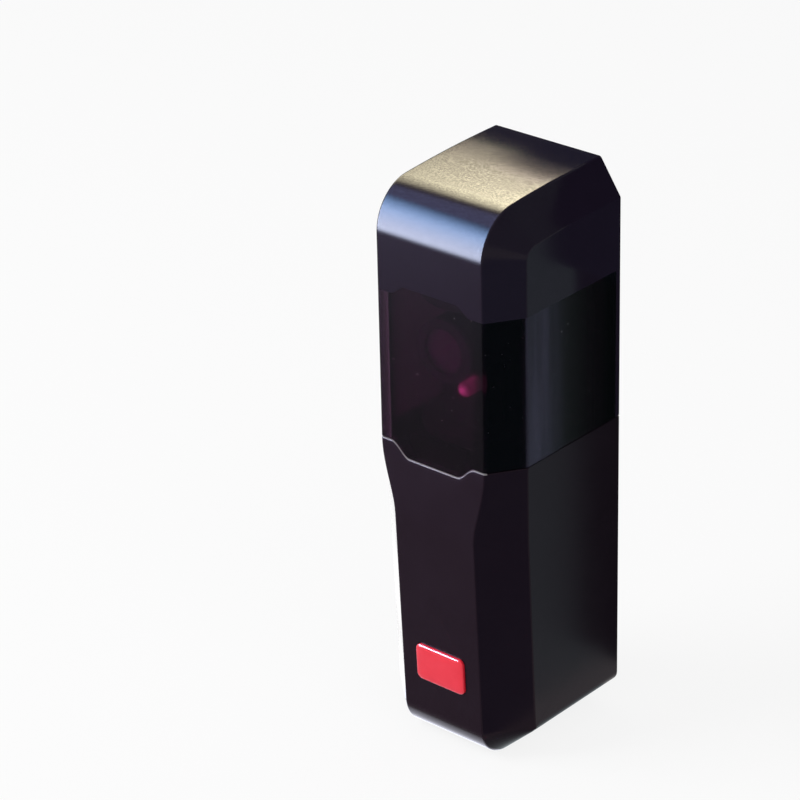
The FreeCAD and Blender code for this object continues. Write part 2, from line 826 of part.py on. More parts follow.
def make_photodiode():
    """Flat receiver package with a raised window, on the board at the back of the lens tube."""
    case_front = "-diode_front - diode_thick"
    case = block("diode_case", ("-diode_half", "diode_half"), (case_front, "-diode_front"),
                 around("eye_level", "diode_tall"))
    pane = block("diode_pane", around("0", "diode_half - pane_inset"),
                 (f"{case_front} - pane_thick", f"{case_front} + slip"),
                 around("eye_level", "diode_tall - pane_inset"))
    return joined("photodiode", [case, pane])


def make_status_lamp():
    """Round lamp beside the lens tube, on its post, with a tapered tip."""
    shoulder = "lamp_front - lamp_tip"
    stem = forward("lamp_stem", "lamp_x", "lamp_level", "lamp_back", shoulder, "lamp_round")
    tip = forward_cone("lamp_cone", "lamp_x", "lamp_level", shoulder, "lamp_front", "lamp_round",
                       "lamp_round - lamp_tip")
    return joined("status_lamp", [stem, tip])


def make_pivot_bridge():
    """Angle bracket screwed to the base, with the bore that the turret's pin turns in."""
    top = "bridge_level + bridge_thick"
    flange = block("bridge_flange", around("0", "bridge_half"),
                   ("-bridge_seat - bridge_thick", "-bridge_seat"),
                   ("bridge_level", "bridge_level + bridge_high"))
    arm = block("bridge_arm", ("-bridge_arm_half", "bridge_arm_half"),
                ("-bridge_front", "-bridge_seat - bridge_thick / 2"), ("bridge_level", top))
    tools = [upright("bridge_bore", "0", "pivot_y", "bridge_level - overrun", f"{top} + overrun",
                     "pin_round + pivot_gap")]
    for tag, sign in SIDES:
        tools.append(forward(f"bridge_hole_{tag}", f"{sign}bridge_screw_x", "bridge_level + bridge_high / 2",
                             "bridge_seat - overrun", "bridge_seat + bridge_thick + overrun",
                             "small_core + pivot_gap"))
    return without("pivot_bridge", joined("bridge_solid", [flange, arm]), tools)


def make_friction_washer():
    stock = upright("washer_stock", "0", "pivot_y", "shelf_level", "shelf_level + washer_thick",
                    "washer_round")
    hole = upright("washer_hole", "0", "pivot_y", "shelf_level - overrun",
                   "shelf_level + washer_thick + overrun", "stub_round + pivot_gap")
    return without("friction_washer", stock, [hole])


# Circuit board and what stands on it
def on_board(name, x, reach, z, start="0"):
    """Box standing on the board's face, between two heights above it."""
    return block(name, x, (f"-board_front - ({reach})", f"-board_front - ({start})"), z)


def make_main_board():
    stock = block("board_stock", ("-board_half", "board_half"), ("-board_front", "-board_back"),
                  ("board_low", "board_high"))
    holes = [forward(f"board_hole_{tag}", f"{sign}board_screw_x", "board_screw_level", "board_back - overrun",
                     "board_front + overrun", "board_hole") for tag, sign in SIDES]
    return without("main_board", stock, holes)


POLES = [f"{pole} * pole_pitch" for pole in range(-2, 3)]


def make_terminal_block():
    """Row of poles, each with a round screw well in front and a square mouth for the wire below."""
    stock = block("terminal_stock", around("0", "pole_pitch * 5 / 2"), ("-terminal_front", "-board_front"),
                  ("board_low", "board_low + terminal_high"))
    tools = []
    for pole, x in enumerate(POLES):
        tools.append(forward(f"terminal_well_{pole}", x, "well_level", "terminal_front - well_deep",
                             "terminal_front + overrun", "well_round"))
        tools.append(block(f"terminal_mouth_{pole}", around(x, "mouth_half"),
                           ("-terminal_front + well_deep", "-terminal_front + mouth_deep"),
                           ("board_low - overrun", "board_low + mouth_high")))
    return without("terminal_block", stock, tools)


def make_terminal_screws():
    made = []
    top = "terminal_front - head_sunk"
    for pole, x in enumerate(POLES):
        head = forward(f"terminal_head_{pole}", x, "well_level", "terminal_front - well_deep + slip", top,
                       "well_round - 1.5 * slip")
        slot = block(f"terminal_slot_{pole}", around(x, "well_round"),
                     (f"-({top}) - slip", f"-({top}) + slot_deep"), around("well_level", "slot_wide / 2"))
        made.append(without(f"terminal_screw_{pole}", head, [slot]))
    return group("terminal_screws", made)


def make_terminal_clamps():
    made = []
    front, back = "-terminal_front + well_deep + slip", "-terminal_front + mouth_deep - slip"
    low, high = "board_low + 2 * clamp_wall", "board_low + mouth_high - 2 * slip"
    for pole, x in enumerate(POLES):
        cage = block(f"clamp_cage_{pole}", around(x, "mouth_half - slip"), (front, back), (low, high))
        throat = block(f"clamp_throat_{pole}", around(x, "mouth_half - slip - clamp_wall"),
                       (f"{front} + clamp_wall", f"{back} - clamp_wall"),
                       (f"{low} - overrun", f"{high} + overrun"))
        made.append(without(f"terminal_clamp_{pole}", cage, [throat]))
    return group("terminal_clamps", made)


def make_relay():
    """Sealed relay case with bevelled front edges."""
    body = doc.addObject("PartDesign::Body", "relay")
    face = outline(sketch(body, "relay_face", "XZ_Plane", offset="board_front"), [
        ("relay_left", "relay_low"),
        ("relay_right", "relay_low"),
        ("relay_right", "relay_high"),
        ("relay_left", "relay_high"),
    ])
    feature = pad(body, face, "relay_front - board_front", "relay_pad")
    front = -value("relay_front")
    bevelled(body, feature, lambda spot: abs(spot.y - front) < 0.01, "relay_bevel", "relay_bevel",
             "relay_edge")
    return body


def make_capacitor():
    """Aluminium can with a crimped groove near its foot and a bevelled rim."""
    foot = "-board_front - can_foot"
    return turned("capacitor", "YZ_Plane", ("0", "can_level", "can_x"), [
        ("-board_front", "0"),
        ("-board_front", "can_round"),
        (foot, "can_round"),
        (f"{foot} - can_groove", "can_round - can_groove"),
        (f"{foot} - 2 * can_groove", "can_round"),
        ("-can_front + can_groove", "can_round"),
        ("-can_front", "can_round - can_groove"),
        ("-can_front", "0"),
    ], "H_Axis")


def make_microcontroller():
    solids = [on_board("chip_case", around("chip_x", "chip_half"), "chip_thick",
                       around("chip_level", "chip_tall"), "chip_lift")]
    for leg in range(4):
        level = f"chip_level + {leg - 1.5} * leg_pitch"
        solids.append(on_board(f"chip_leg_{leg}", around("chip_x", "leg_reach"), "2 * leg_half",
                               around(level, "leg_half")))
    return joined("microcontroller", solids)


PIN_SPOTS = (("low", "jumper_level - leg_pitch"), ("high", "jumper_level + leg_pitch"))


def make_jumper_pins():
    solids = [on_board("jumper_strip", around("jumper_x", "jumper_half"), "jumper_tall",
                       around("jumper_level", "jumper_tall"))]
    for tag, z in PIN_SPOTS:
        solids.append(on_board(f"jumper_pin_{tag}", around("jumper_x", "pin_half"), "pin_reach",
                               around(z, "pin_half")))
    return joined("jumper_pins", solids)


def make_jumper_cap():
    stock = on_board("cap_stock", around("jumper_x", "jumper_half - slip / 2"), "cap_end",
                     around("jumper_level", "jumper_tall - slip / 2"), "jumper_tall + slip")
    sockets = [on_board(f"cap_socket_{tag}", around("jumper_x", "pin_half + slip"), "pin_reach + 2 * slip",
                        around(z, "pin_half + slip")) for tag, z in PIN_SPOTS]
    return without("jumper_cap", stock, sockets)


def make_lead_socket():
    stock = on_board("socket_stock", around("0", "socket_half"), "socket_reach",
                     around("lead_level", "socket_tall"))
    well = on_board("socket_well", around("0", "socket_half - socket_wall"), "socket_reach + overrun",
                    around("lead_level", "socket_tall - socket_wall"), "overrun")
    return without("lead_socket", stock, [well])


def make_optic_lead():
    """Flat two-core lead from its plug, bent up into the hollow lower stub of the turret."""
    body = doc.addObject("PartDesign::Body", "optic_lead")
    start, top = "-board_front - plug_end", "turret_low + drum_floor - pivot_gap"
    bend = value("lead_bend")
    y_start, y_end = value(start), value("pivot_y")
    z_start, z_end = value("lead_level"), value(top)
    centre = Vector(y_end + bend, z_start + bend, 0)
    path = sketch(body, "lead_path", "YZ_Plane")
    path.addGeometry(Part.LineSegment(Vector(y_start, z_start, 0), Vector(y_end + bend, z_start, 0)), False)
    path.addGeometry(arc_between(Vector(y_end, centre.y, 0), Vector(centre.x, z_start, 0), bend, 1), False)
    path.addGeometry(Part.LineSegment(Vector(y_end, centre.y, 0), Vector(y_end, z_end, 0)), False)
    path.addConstraint(Sketcher.Constraint("Tangent", 0, 2, 1, 2))
    path.addConstraint(Sketcher.Constraint("Tangent", 1, 1, 2, 1))
    path.addConstraint(Sketcher.Constraint("Horizontal", 0))
    path.addConstraint(Sketcher.Constraint("Vertical", 2))
    pin_point(path, 0, 1, start, "lead_level")
    pin_point(path, 2, 2, "pivot_y", top)
    index = path.addConstraint(Sketcher.Constraint("Radius", 1, bend))
    path.setExpression(f"Constraints[{index}]", bound("lead_bend"))
    low, high = around("lead_level", "lead_thick / 2")
    section = outline(sketch(body, "lead_section", "XZ_Plane", offset=f"-({start})"), [
        ("-lead_half", low),
        ("lead_half", low),
        ("lead_half", high),
        ("-lead_half", high),
    ])
    doc.recompute()
    pipe = body.newObject("PartDesign::AdditivePipe", "lead_pipe")
    pipe.Profile = section
    pipe.Spine = (path, ["Edge1", "Edge2", "Edge3"])
    doc.recompute()
    return body


nodes = [
    make_hood(),
    make_lower_cover(),
    make_badge(),
    make_base(),
    make_rim_seal(),
    make_cable_grommet(),
    make_cover_screw(),
    screw_pair("hood_screws", "hood", "lug_screw_x", "lug_screw_level", "lug_seat + lug_thick", "screw_core"),
    make_pivot_bridge(),
    screw_pair("bridge_screws", "bridge", "bridge_screw_x", "bridge_level + bridge_high / 2",
               "bridge_seat + bridge_thick", "small_core"),
    make_friction_washer(),
    make_optic_turret(),
    make_lens(),
    make_lens_ring(),
    forward("diode_board", "0", "eye_level", "diode_back", "diode_front", "tube_bore - slip"),
    make_photodiode(),
    make_status_lamp(),
    make_main_board(),
    screw_pair("board_screws", "board", "board_screw_x", "board_screw_level", "board_front", "small_core"),
    make_terminal_block(),
    make_terminal_screws(),
    make_terminal_clamps(),
    make_relay(),
    make_capacitor(),
    make_microcontroller(),
    make_jumper_pins(),
    make_jumper_cap(),
    make_lead_socket(),
    on_board("lead_plug", around("0", "socket_half - socket_wall - slip"), "plug_end",
             around("lead_level", "socket_tall - socket_wall - slip"), "overrun + slip"),
    make_optic_lead(),
]
doc.recompute()

for item in doc.Objects:
    if "Invalid" in item.State or "Error" in item.State:
        raise RuntimeError(f"{item.Name} did not build: {item.State}")

os.makedirs("parts", exist_ok=True)
for node in nodes:
    node.Label = node.Name
    shape = node.Shape
    if shape.isNull() or not shape.isValid():
        raise RuntimeError(f"{node.Name} has no valid shape")
    shape.exportStep(f"parts/{node.Name}.step")
    print(f"{node.Name}: {len(shape.Solids)} solid(s), {shape.Volume:.1f} mm3, {shape.BoundBox}")
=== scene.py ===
import math

import bmesh
import bpy
from mathutils import Matrix, Vector


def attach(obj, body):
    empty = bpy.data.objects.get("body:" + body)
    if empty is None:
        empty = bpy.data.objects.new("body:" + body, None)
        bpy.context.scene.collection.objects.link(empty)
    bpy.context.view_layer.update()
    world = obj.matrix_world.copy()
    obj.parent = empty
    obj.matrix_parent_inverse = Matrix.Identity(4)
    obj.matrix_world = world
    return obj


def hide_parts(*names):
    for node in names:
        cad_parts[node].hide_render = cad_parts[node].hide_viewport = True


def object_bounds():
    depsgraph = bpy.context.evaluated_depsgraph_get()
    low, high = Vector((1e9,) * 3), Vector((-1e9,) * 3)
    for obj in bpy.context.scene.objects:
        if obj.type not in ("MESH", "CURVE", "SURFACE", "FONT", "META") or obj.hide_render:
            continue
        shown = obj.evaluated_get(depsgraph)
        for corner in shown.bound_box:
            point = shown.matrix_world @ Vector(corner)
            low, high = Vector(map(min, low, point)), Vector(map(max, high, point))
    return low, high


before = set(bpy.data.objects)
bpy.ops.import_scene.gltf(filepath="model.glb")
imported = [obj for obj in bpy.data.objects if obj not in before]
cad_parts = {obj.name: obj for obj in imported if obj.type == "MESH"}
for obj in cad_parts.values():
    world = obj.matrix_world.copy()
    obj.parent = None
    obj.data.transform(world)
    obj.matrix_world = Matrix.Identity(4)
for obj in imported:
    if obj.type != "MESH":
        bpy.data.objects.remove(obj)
cad_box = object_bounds()

# Outer sizes from the frame, in millimetres to the micrometre: wall face at y = 0, front towards -y, z up
MM = 0.001
(_, front_y, floor_z), (right_x, _, top_z) = cad_box
HALF_WIDTH, DEPTH, TOP, FLOOR = (round(size / MM, 3) for size in (right_x, -front_y, top_z, floor_z))

# Sizes of the mouldings in millimetres
TOP_FALL = 1.9
TOP_CROWN = 300.0
NOSE_ROUND = 9.5
TOE_ROUND = 7.2
CORNER_SIDE = 7.0
HOOD_CREASE = 12.6
COVER_CREASE = 9.7
WALL = 2.0
INNER_SIDE = 5.7
HOOD_INNER_CREASE = 11.5
COVER_INNER_CREASE = 9.0
CREASE_ROUND = 0.7
HEEL_ROUND = 2.6
INNER_ROUND = 0.4
LIP_ROUND = 0.35
SEAM = 6.35
SEAM_DIP = 2.85
DIP_HALF = 5.8
SHOULDER_HALF = 10.2
SHOULDER_SPARE = 0.5
SEAM_GAP = 0.2
WAIST = -9.45
NECK_BIAS = 0.9
DRAFT = math.radians(2.5)
WINDOW_TOP = 36.95
WINDOW_RISE = 1.9
WINDOW_FLAT = 6.2
WINDOW_SHOULDER = 9.5

# Badge: share of the outline and place along y of each ring of its dome, and of the middle
BADGE_WIDTH = 11.8
BADGE_HEIGHT = 7.8
BADGE_CORNER = 1.2
BADGE_LEVEL = -40.75
BADGE_RINGS = [(1.0, 0.5), (1.0, -0.35), (0.985, -0.47), (0.955, -0.56),
               (0.9, -0.63), (0.8, -0.69), (0.6, -0.75), (0.3, -0.78)]
BADGE_CROWN = -0.79
RECESS_GAP = 0.15
RECESS_BACK = 0.6
RECESS_FRONT = -3.0

# Lugs, tongue, boss and screws that hold the mouldings and the circuit
PAST = 1.0
BLOCK_ROUND = 0.25
LUG_INNER = 10.6
LUG_CLEARANCE = 0.25
LUG_FRONT = -13.0
LUG_SEAT = -10.5
LUG_LOW = -2.2
LUG_ABOVE_SEAM = 3.0
LUG_HOLE = 1.5
LUG_SCREW_X = 12.6
LUG_LEVEL = 1.2
TONGUE_HALF = 7.0
TONGUE_GAP = 0.1
TONGUE_THICK = 1.3
TONGUE_ROOT = 5.0
TONGUE_RISE = 2.0
COVER_SCREW_Y = -13.0
COVER_SCREW_SEAT = 2.7
COVER_HOLE = 1.7
COVER_HOLE_END = 5.0
SINK_DEPTH = 1.6
SINK_RADIUS = 3.3
BOSS_FOOT = 1.7
BOSS_TOP = 4.4
BOSS_RADIUS = 4.2
HOOD_SCREW_SEAT = 0.3
BRIDGE_SCREW = (7.2, -6.8, 39.1)
BOARD_SCREW = (10.5, -10.0, -5.5)
COARSE_THREAD = {"core": 1.15, "ridge": 0.3, "pitch": 1.0}
FINE_THREAD = {"core": 0.85, "ridge": 0.22, "pitch": 0.8}
HOOD_SCREW_LENGTH = 7.4
BRIDGE_SCREW_LENGTH = 4.0
BOARD_SCREW_LENGTH = 5.5
COVER_SCREW_LENGTH = 5.5

# Reach of the looks: painted shade at the jamb of the front pane, matte strip at the wall, painted sheen on
# the window's sides, painted highlight on the lip under the seam, rubbed top
JAMB_PAINTED_SHADE = (9.2, 11.2)
WALL_STRIP = (-1.3, -1.1)
BORDER_BLUR = 0.06
CORNER_BLUR = 0.4
SHEEN_PAINTED_REACH = (-14.5, -25.5)
SHEEN_PAINTED_SHARE = 0.085
SEAM_HIGHLIGHT_BELOW = (-0.37, -0.27)
SEAM_HIGHLIGHT_BEHIND_FRONT = (0.6, 0.35)
RUBBED_ACROSS = (-8.0, 6.0)
RUBBED_BACK = (-21.0, -14.0)
NOISE_LOW, NOISE_HIGH = 0.3, 0.7

# Lamp behind the window
LAMP_X = 3.4
LAMP_LEVEL = 18.8
LAMP_FRONT = -29.4
LAMP_BACK = -25.0
LAMP_HEART = 0.3
LAMP_RIM = 1.5

# Fineness of the meshes: steps along each stretch, and reach of merging in metres
FLAT_COLUMNS = [0.0, 2.0, 4.0]
DIP_STEPS = 10
ROUND_STEPS = 4
LIP_STEPS = 4
CROWN_STEPS = 10
NOSE_STEPS = 44
HOOD_FRONT_STEPS = 8
NECK_STEPS = 14
COVER_FRONT_STEPS = 6
TOE_STEPS = 18
HEEL_STEPS = 4
BADGE_CORNER_STEPS = 10
BAR_SIDES = 48
COIL_STEPS = 20
RIDGE_SIDES = 4
MERGE_REACH = 2e-6
SLIVER = 1e-6
SHARP_ANGLE = math.radians(32)
NORMAL_WEIGHT = 100


def soft_step(share):
    share = min(max(share, 0.0), 1.0)
    return share * share * (3 - 2 * share)


def seam_height(x, shift):
    """Seam line seen from the front: level at the sides, dipping in the middle."""
    share = (abs(x) - DIP_HALF) / (SHOULDER_HALF - DIP_HALF)
    return SEAM - SEAM_DIP * (1 - soft_step(share)) + shift


def neck_crease(z):
    """Half width of the front face on the lower cover, narrowing in an S from the seam to the waist."""
    share = max((z - WAIST) / (SEAM - WAIST), 0.0)
    return COVER_CREASE + (HOOD_CREASE - COVER_CREASE) * soft_step(share ** NECK_BIAS)


class Row:
    """One row of a moulding, seen from the side: a point, its outward normal and the bend it may lie on."""

    def __init__(self, y, z, normal, bend=None):
        self.y, self.z, self.normal, self.bend = y, z, normal, bend

    def inward(self, offset):
        """Point at a distance inside the outer skin; inside a bend it closes to a corner."""
        ny, nz = self.normal
        if self.bend is None:
            return self.y - ny * offset, self.z - nz * offset
        cy, cz, radius, corner = self.bend
        if radius > offset:
            return cy + ny * (radius - offset), cz + nz * (radius - offset)
        return cy - corner[0] * (offset - radius), cz - corner[1] * (offset - radius)


def bent_rows(start, corner, end, radius, before, around):
    """Rows along start to corner and round its bend, and the normal of the last straight."""
    first = Vector(corner) - Vector(start)
    last = Vector(end) - Vector(corner)
    first.normalize()
    last.normalize()
    normal_a = Vector((first.y, -first.x))
    normal_b = Vector((last.y, -last.x))
    turn = math.acos(max(-1.0, min(1.0, normal_a.dot(normal_b))))
    touch = Vector(corner) - first * radius * math.tan(turn / 2)
    centre = touch - normal_a * radius
    inner = (normal_a + normal_b) / (1 + normal_a.dot(normal_b))
    bend = (centre.x, centre.y, radius, (inner.x, inner.y))
    rows = []
    for step in range(before):
        spot = Vector(start).lerp(touch, step / before)
        rows.append(Row(spot.x, spot.y, (normal_a.x, normal_a.y)))
    for step in range(around + 1):
        share = step / around
        normal = normal_a * math.sin((1 - share) * turn) + normal_b * math.sin(share * turn)
        normal /= math.sin(turn)
        rows.append(Row(0, 0, (normal.x, normal.y), bend))
    return rows, (normal_b.x, normal_b.y)


def corner_section(crease, half, side, inset, front_round, side_round):
    """Right half of the cross section from the front face round the bevel: (x, distance inside the skin)."""
    run = math.hypot(half - crease, side)
    along_x, along_in = (half - crease) / run, side / run
    lean = math.atan2(along_in, along_x)

    def arc(x, depth, radius, first, last):
        turns = [first + (last - first) * step / ROUND_STEPS for step in range(ROUND_STEPS + 1)]
        return [(x + radius * math.sin(turn), depth - radius * math.cos(turn) + inset) for turn in turns]

    reach = side_round * math.tan((math.pi / 2 - lean) / 2)
    side_x = half - along_x * reach - side_round * along_in
    side_depth = side - along_in * reach + side_round * along_x
    front_x = crease - front_round * math.tan(lean / 2)
    return (arc(front_x, front_round, front_round, 0, lean)
            + arc(side_x, side_depth, side_round, lean, math.pi / 2))


FRONT_COLUMNS = FLAT_COLUMNS + [DIP_HALF + (SHOULDER_HALF - DIP_HALF) * step / DIP_STEPS
                                for step in range(DIP_STEPS + 1)]


def skin_grid(rows, section_of, place, edge_path):
    """Grid of points over one skin; each row runs from the left edge of its side face round to the right."""
    grid = []
    for index, row in enumerate(rows):
        section = section_of(index)
        flat_end, flat_depth = section[0]
        squeeze = flat_end / HOOD_CREASE if flat_end < SHOULDER_HALF + SHOULDER_SPARE else 1.0
        right = [Vector((x * squeeze, *place(index, row, x, flat_depth))) for x in FRONT_COLUMNS]
        right += [Vector((x, *place(index, row, x, depth))) for x, depth in section]
        side = right[-1]
        right.append(Vector((side.x, *edge_path(index, side))))
        left = [Vector((-spot.x, spot.y, spot.z)) for spot in reversed(right[1:])]
        grid.append(left + right)
    return grid


def shell_from_grids(name, outer, inner):
    """Closed shell from an outer and an inner grid of the same layout, bridged round the open edge."""
    mesh = bmesh.new()
    skins = []
    for grid in (outer, inner):
        skins.append([[mesh.verts.new(spot * MM) for spot in line] for line in grid])
    for skin in skins:
        for upper, lower in zip(skin, skin[1:]):
            for i in range(len(upper) - 1):
                mesh.faces.new((upper[i], upper[i + 1], lower[i + 1], lower[i]))
    loops = []
    for skin in skins:
        loop = list(skin[0])
        loop += [line[-1] for line in skin[1:]]
        loop += list(reversed(skin[-1][:-1]))
        loop += [line[0] for line in reversed(skin[1:-1])]
        loops.append(loop)
    count = len(loops[0])
    for i in range(count):
        k = (i + 1) % count
        mesh.faces.new((loops[0][i], loops[0][k], loops[1][k], loops[1][i]))
    bmesh.ops.remove_doubles(mesh, verts=mesh.verts, dist=MERGE_REACH)
    bmesh.ops.dissolve_degenerate(mesh, edges=mesh.edges, dist=SLIVER)
    bmesh.ops.recalc_face_normals(mesh, faces=mesh.faces)
    return piece_from(mesh, name)


def piece_from(mesh, name):
    data = bpy.data.meshes.new(name)
    mesh.to_mesh(data)
    mesh.free()
    piece = bpy.data.objects.new(name, data)
    bpy.context.scene.collection.objects.link(piece)
    return piece


def finished(piece, body, node, material):
    """Smooth shading with crisp edges, a material and a body to ride on; the solid the piece stands for is
    hidden.
    """
    piece.data.shade_smooth()
    piece.data.set_sharp_from_angle(angle=SHARP_ANGLE)
    weighted = piece.modifiers.new("even_normals", "WEIGHTED_NORMAL")
    weighted.keep_sharp = True
    weighted.weight = NORMAL_WEIGHT
    piece.data.materials.clear()
    piece.data.materials.append(material)
    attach(piece, body)
    if node:
        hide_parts(node)


def carved(piece, tools):
    """Cuts tool meshes out of a piece and keeps the result as a plain mesh."""
    for tool in tools:
        cut = piece.modifiers.new("cut", "BOOLEAN")
        cut.operation = "DIFFERENCE"
        cut.solver = "EXACT"
        cut.object = tool
    baked = bpy.data.meshes.new_from_object(piece.evaluated_get(bpy.context.evaluated_depsgraph_get()))
    piece.modifiers.clear()
    piece.data = baked
    for tool in tools:
        bpy.data.objects.remove(tool, do_unlink=True)
    return piece


def merged(piece, parts):
    """Takes the meshes of other parts into a piece."""
    mesh = bmesh.new()
    for source in (piece, *parts):
        mesh.from_mesh(source.data)
    mesh.to_mesh(piece.data)
    mesh.free()
    for part in parts:
        bpy.data.objects.remove(part, do_unlink=True)
    return piece


def soft_block(name, low, high):
    """Block between two corners with softened edges."""
    mesh = bmesh.new()
    size, middle = Vector(high) - Vector(low), (Vector(high) + Vector(low)) / 2
    placed = Matrix.Translation(middle * MM) @ Matrix.Diagonal((*(size * MM), 1))
    bmesh.ops.create_cube(mesh, size=1.0, matrix=placed)
    bmesh.ops.bevel(mesh, geom=mesh.edges[:], offset=BLOCK_ROUND * MM, segments=2, profile=0.5,
                    affect="EDGES")
    return piece_from(mesh, name)


def round_bar(name, start, end, radius):
    """Round bar between two points."""
    start, end = Vector(start), Vector(end)
    mesh = bmesh.new()
    bmesh.ops.create_cone(mesh, cap_ends=True, segments=BAR_SIDES, radius1=radius * MM, radius2=radius * MM,
                          depth=(end - start).length * MM)
    turn = (end - start).to_track_quat("Z", "Y").to_matrix().to_4x4()
    mesh.transform(Matrix.Translation((start + end) / 2 * MM) @ turn)
    return piece_from(mesh, name)


# Hood and lower cover
def path_share(path, share):
    """Point at a share of the number of legs of a path."""
    leg = min(int(share * (len(path) - 1)), len(path) - 2)
    part = share * (len(path) - 1) - leg
    return Vector(path[leg]).lerp(Vector(path[leg + 1]), part)


def side_edge(path, last):
    """Open edge of a side face along a path; the first and the last row end where their section does."""
    def edge(index, side):
        if index in (0, last):
            return side.y, side.z
        return path_share(path, index / last)
    return edge


def hood_rows():
    """Rows over the crowned top and round the nose, the crown's centre and the level of the nose's end."""
    chord = Vector((-DEPTH, -TOP_FALL))
    rise = Vector((chord.y, -chord.x)).normalized()
    middle = Vector((-DEPTH / 2, TOP - TOP_FALL / 2))
    crown = middle - rise * math.sqrt(TOP_CROWN ** 2 - chord.length_squared / 4)
    nose_y = NOSE_ROUND - DEPTH
    nose_z = crown.y + math.sqrt((TOP_CROWN - NOSE_ROUND) ** 2 - (nose_y - crown.x) ** 2)
    rear_turn = math.acos(-crown.x / TOP_CROWN)
    nose_turn = math.acos((nose_y - crown.x) / (TOP_CROWN - NOSE_ROUND))
    rows = []
    for step in range(CROWN_STEPS):
        turn = rear_turn + (nose_turn - rear_turn) * step / CROWN_STEPS
        rows.append(Row(0, 0, (math.cos(turn), math.sin(turn)), (crown.x, crown.y, TOP_CROWN, (0, 0))))
    for step in range(NOSE_STEPS + 1):
        turn = nose_turn + (math.pi - nose_turn) * step / NOSE_STEPS
        rows.append(Row(0, 0, (math.cos(turn), math.sin(turn)), (nose_y, nose_z, NOSE_ROUND, (0, 0))))
    return rows, crown, nose_z


def make_hood_shell():
    rows, crown, front_top = hood_rows()
    first_front = len(rows)
    rows += [Row(-DEPTH, 0, (-1, 0)) for _ in range(HOOD_FRONT_STEPS)]

    def place(index, row, x, depth):
        y, z = row.inward(depth)
        if index >= first_front:
            share = (index - first_front + 1) / HOOD_FRONT_STEPS
            z = front_top + share * (seam_height(x, SEAM_GAP / 2) - front_top)
        elif index == 0:
            y, z = 0.0, crown.y + math.sqrt((TOP_CROWN - depth) ** 2 - crown.x ** 2)
        return y, z

    def skin(section):
        inset = section[-1][1]
        low = SEAM + SEAM_GAP / 2
        path = [place(0, rows[0], HALF_WIDTH, inset), (0, low), (-DEPTH + inset, low)]
        return skin_grid(rows, lambda _: section, place, side_edge(path, len(rows) - 1))

    inner_half = HALF_WIDTH - WALL
    outer = corner_section(HOOD_CREASE, HALF_WIDTH, CORNER_SIDE, 0, CREASE_ROUND, CREASE_ROUND)
    inner = corner_section(HOOD_INNER_CREASE, inner_half, INNER_SIDE, WALL, INNER_ROUND, INNER_ROUND)
    return shell_from_grids("hood_shell", skin(outer), skin(inner))


def make_cover_shell():
    lean = math.tan(DRAFT) * (WAIST - FLOOR)
    toe = (-DEPTH + lean, FLOOR)
    lower, floor_normal = bent_rows((-DEPTH, WAIST), toe, (0, FLOOR), TOE_ROUND, COVER_FRONT_STEPS, TOE_STEPS)
    floor_front = lower[-1].inward(0)[0]
    waist_row = LIP_STEPS + NECK_STEPS
    toe_row = waist_row + COVER_FRONT_STEPS
    rows = [Row(-DEPTH, 0, (-1, 0)) for _ in range(waist_row)] + lower
    for step in range(1, HEEL_STEPS + 1):
        rows.append(Row(floor_front * (1 - step / HEEL_STEPS), FLOOR, floor_normal))
    levels = [SEAM] * LIP_STEPS + [SEAM + (WAIST - SEAM) * step / NECK_STEPS for step in range(NECK_STEPS)]
    last = len(rows) - 1

    def place(index, row, x, depth):
        if index >= waist_row:
            return row.inward(depth)
        seam = seam_height(x, -SEAM_GAP / 2)
        if index < LIP_STEPS:
            turn = math.pi / 2 * index / LIP_STEPS
            return row.y + depth + LIP_ROUND * (1 - math.sin(turn)), seam - LIP_ROUND * (1 - math.cos(turn))
        share = (index - LIP_STEPS) / NECK_STEPS
        top = seam - LIP_ROUND
        return row.y + depth, top + share * (WAIST - top)

    def outer(index):
        crease = neck_crease(levels[index]) if index < waist_row else COVER_CREASE
        heel = CREASE_ROUND + (HEEL_ROUND - CREASE_ROUND) * soft_step((index - toe_row) / TOE_STEPS)
        return corner_section(crease, HALF_WIDTH, CORNER_SIDE, 0, CREASE_ROUND, heel)

    def inner(_):
        inner_half = HALF_WIDTH - WALL
        return corner_section(COVER_INNER_CREASE, inner_half, INNER_SIDE, WALL, INNER_ROUND, INNER_ROUND)

    def skin(section):
        high = SEAM - SEAM_GAP / 2
        path = [(-DEPTH + section(0)[-1][1], high), (0, high), (0, FLOOR + section(last)[-1][1])]
        return skin_grid(rows, section, place, side_edge(path, last))

    return shell_from_grids("cover_shell", skin(outer), skin(inner))


# Badge: a blank red plate with a domed face, and the recess it sits in
def rounded_rectangle(width, height, corner):
    spots = []
    for sign_x, sign_z, turn in ((1, 1, 0), (-1, 1, 90), (-1, -1, 180), (1, -1, 270)):
        for step in range(BADGE_CORNER_STEPS + 1):
            angle = math.radians(turn + 90 * step / BADGE_CORNER_STEPS)
            spots.append((sign_x * (width / 2 - corner) + corner * math.cos(angle),
                          sign_z * (height / 2 - corner) + corner * math.sin(angle)))
    return spots


def stacked_rings(mesh, outline, places):
    """Rings of an outline, each at its share and place along y, with walls between them."""
    rings = [[mesh.verts.new(Vector((x * share, y, z * share)) * MM) for x, z in outline]
             for share, y in places]
    count = len(outline)
    for upper, lower in zip(rings, rings[1:]):
        for i in range(count):
            k = (i + 1) % count
            mesh.faces.new((upper[i], upper[k], lower[k], lower[i]))
    return rings


def set_on_front(mesh, name):
    """Piece set flat on the leaning front of the lower cover, at the badge's level."""
    bmesh.ops.recalc_face_normals(mesh, faces=mesh.faces)
    y = -DEPTH + math.tan(DRAFT) * (WAIST - BADGE_LEVEL)
    mesh.transform(Matrix.Translation(Vector((0, y, BADGE_LEVEL)) * MM) @ Matrix.Rotation(DRAFT, 4, "X"))
    return piece_from(mesh, name)


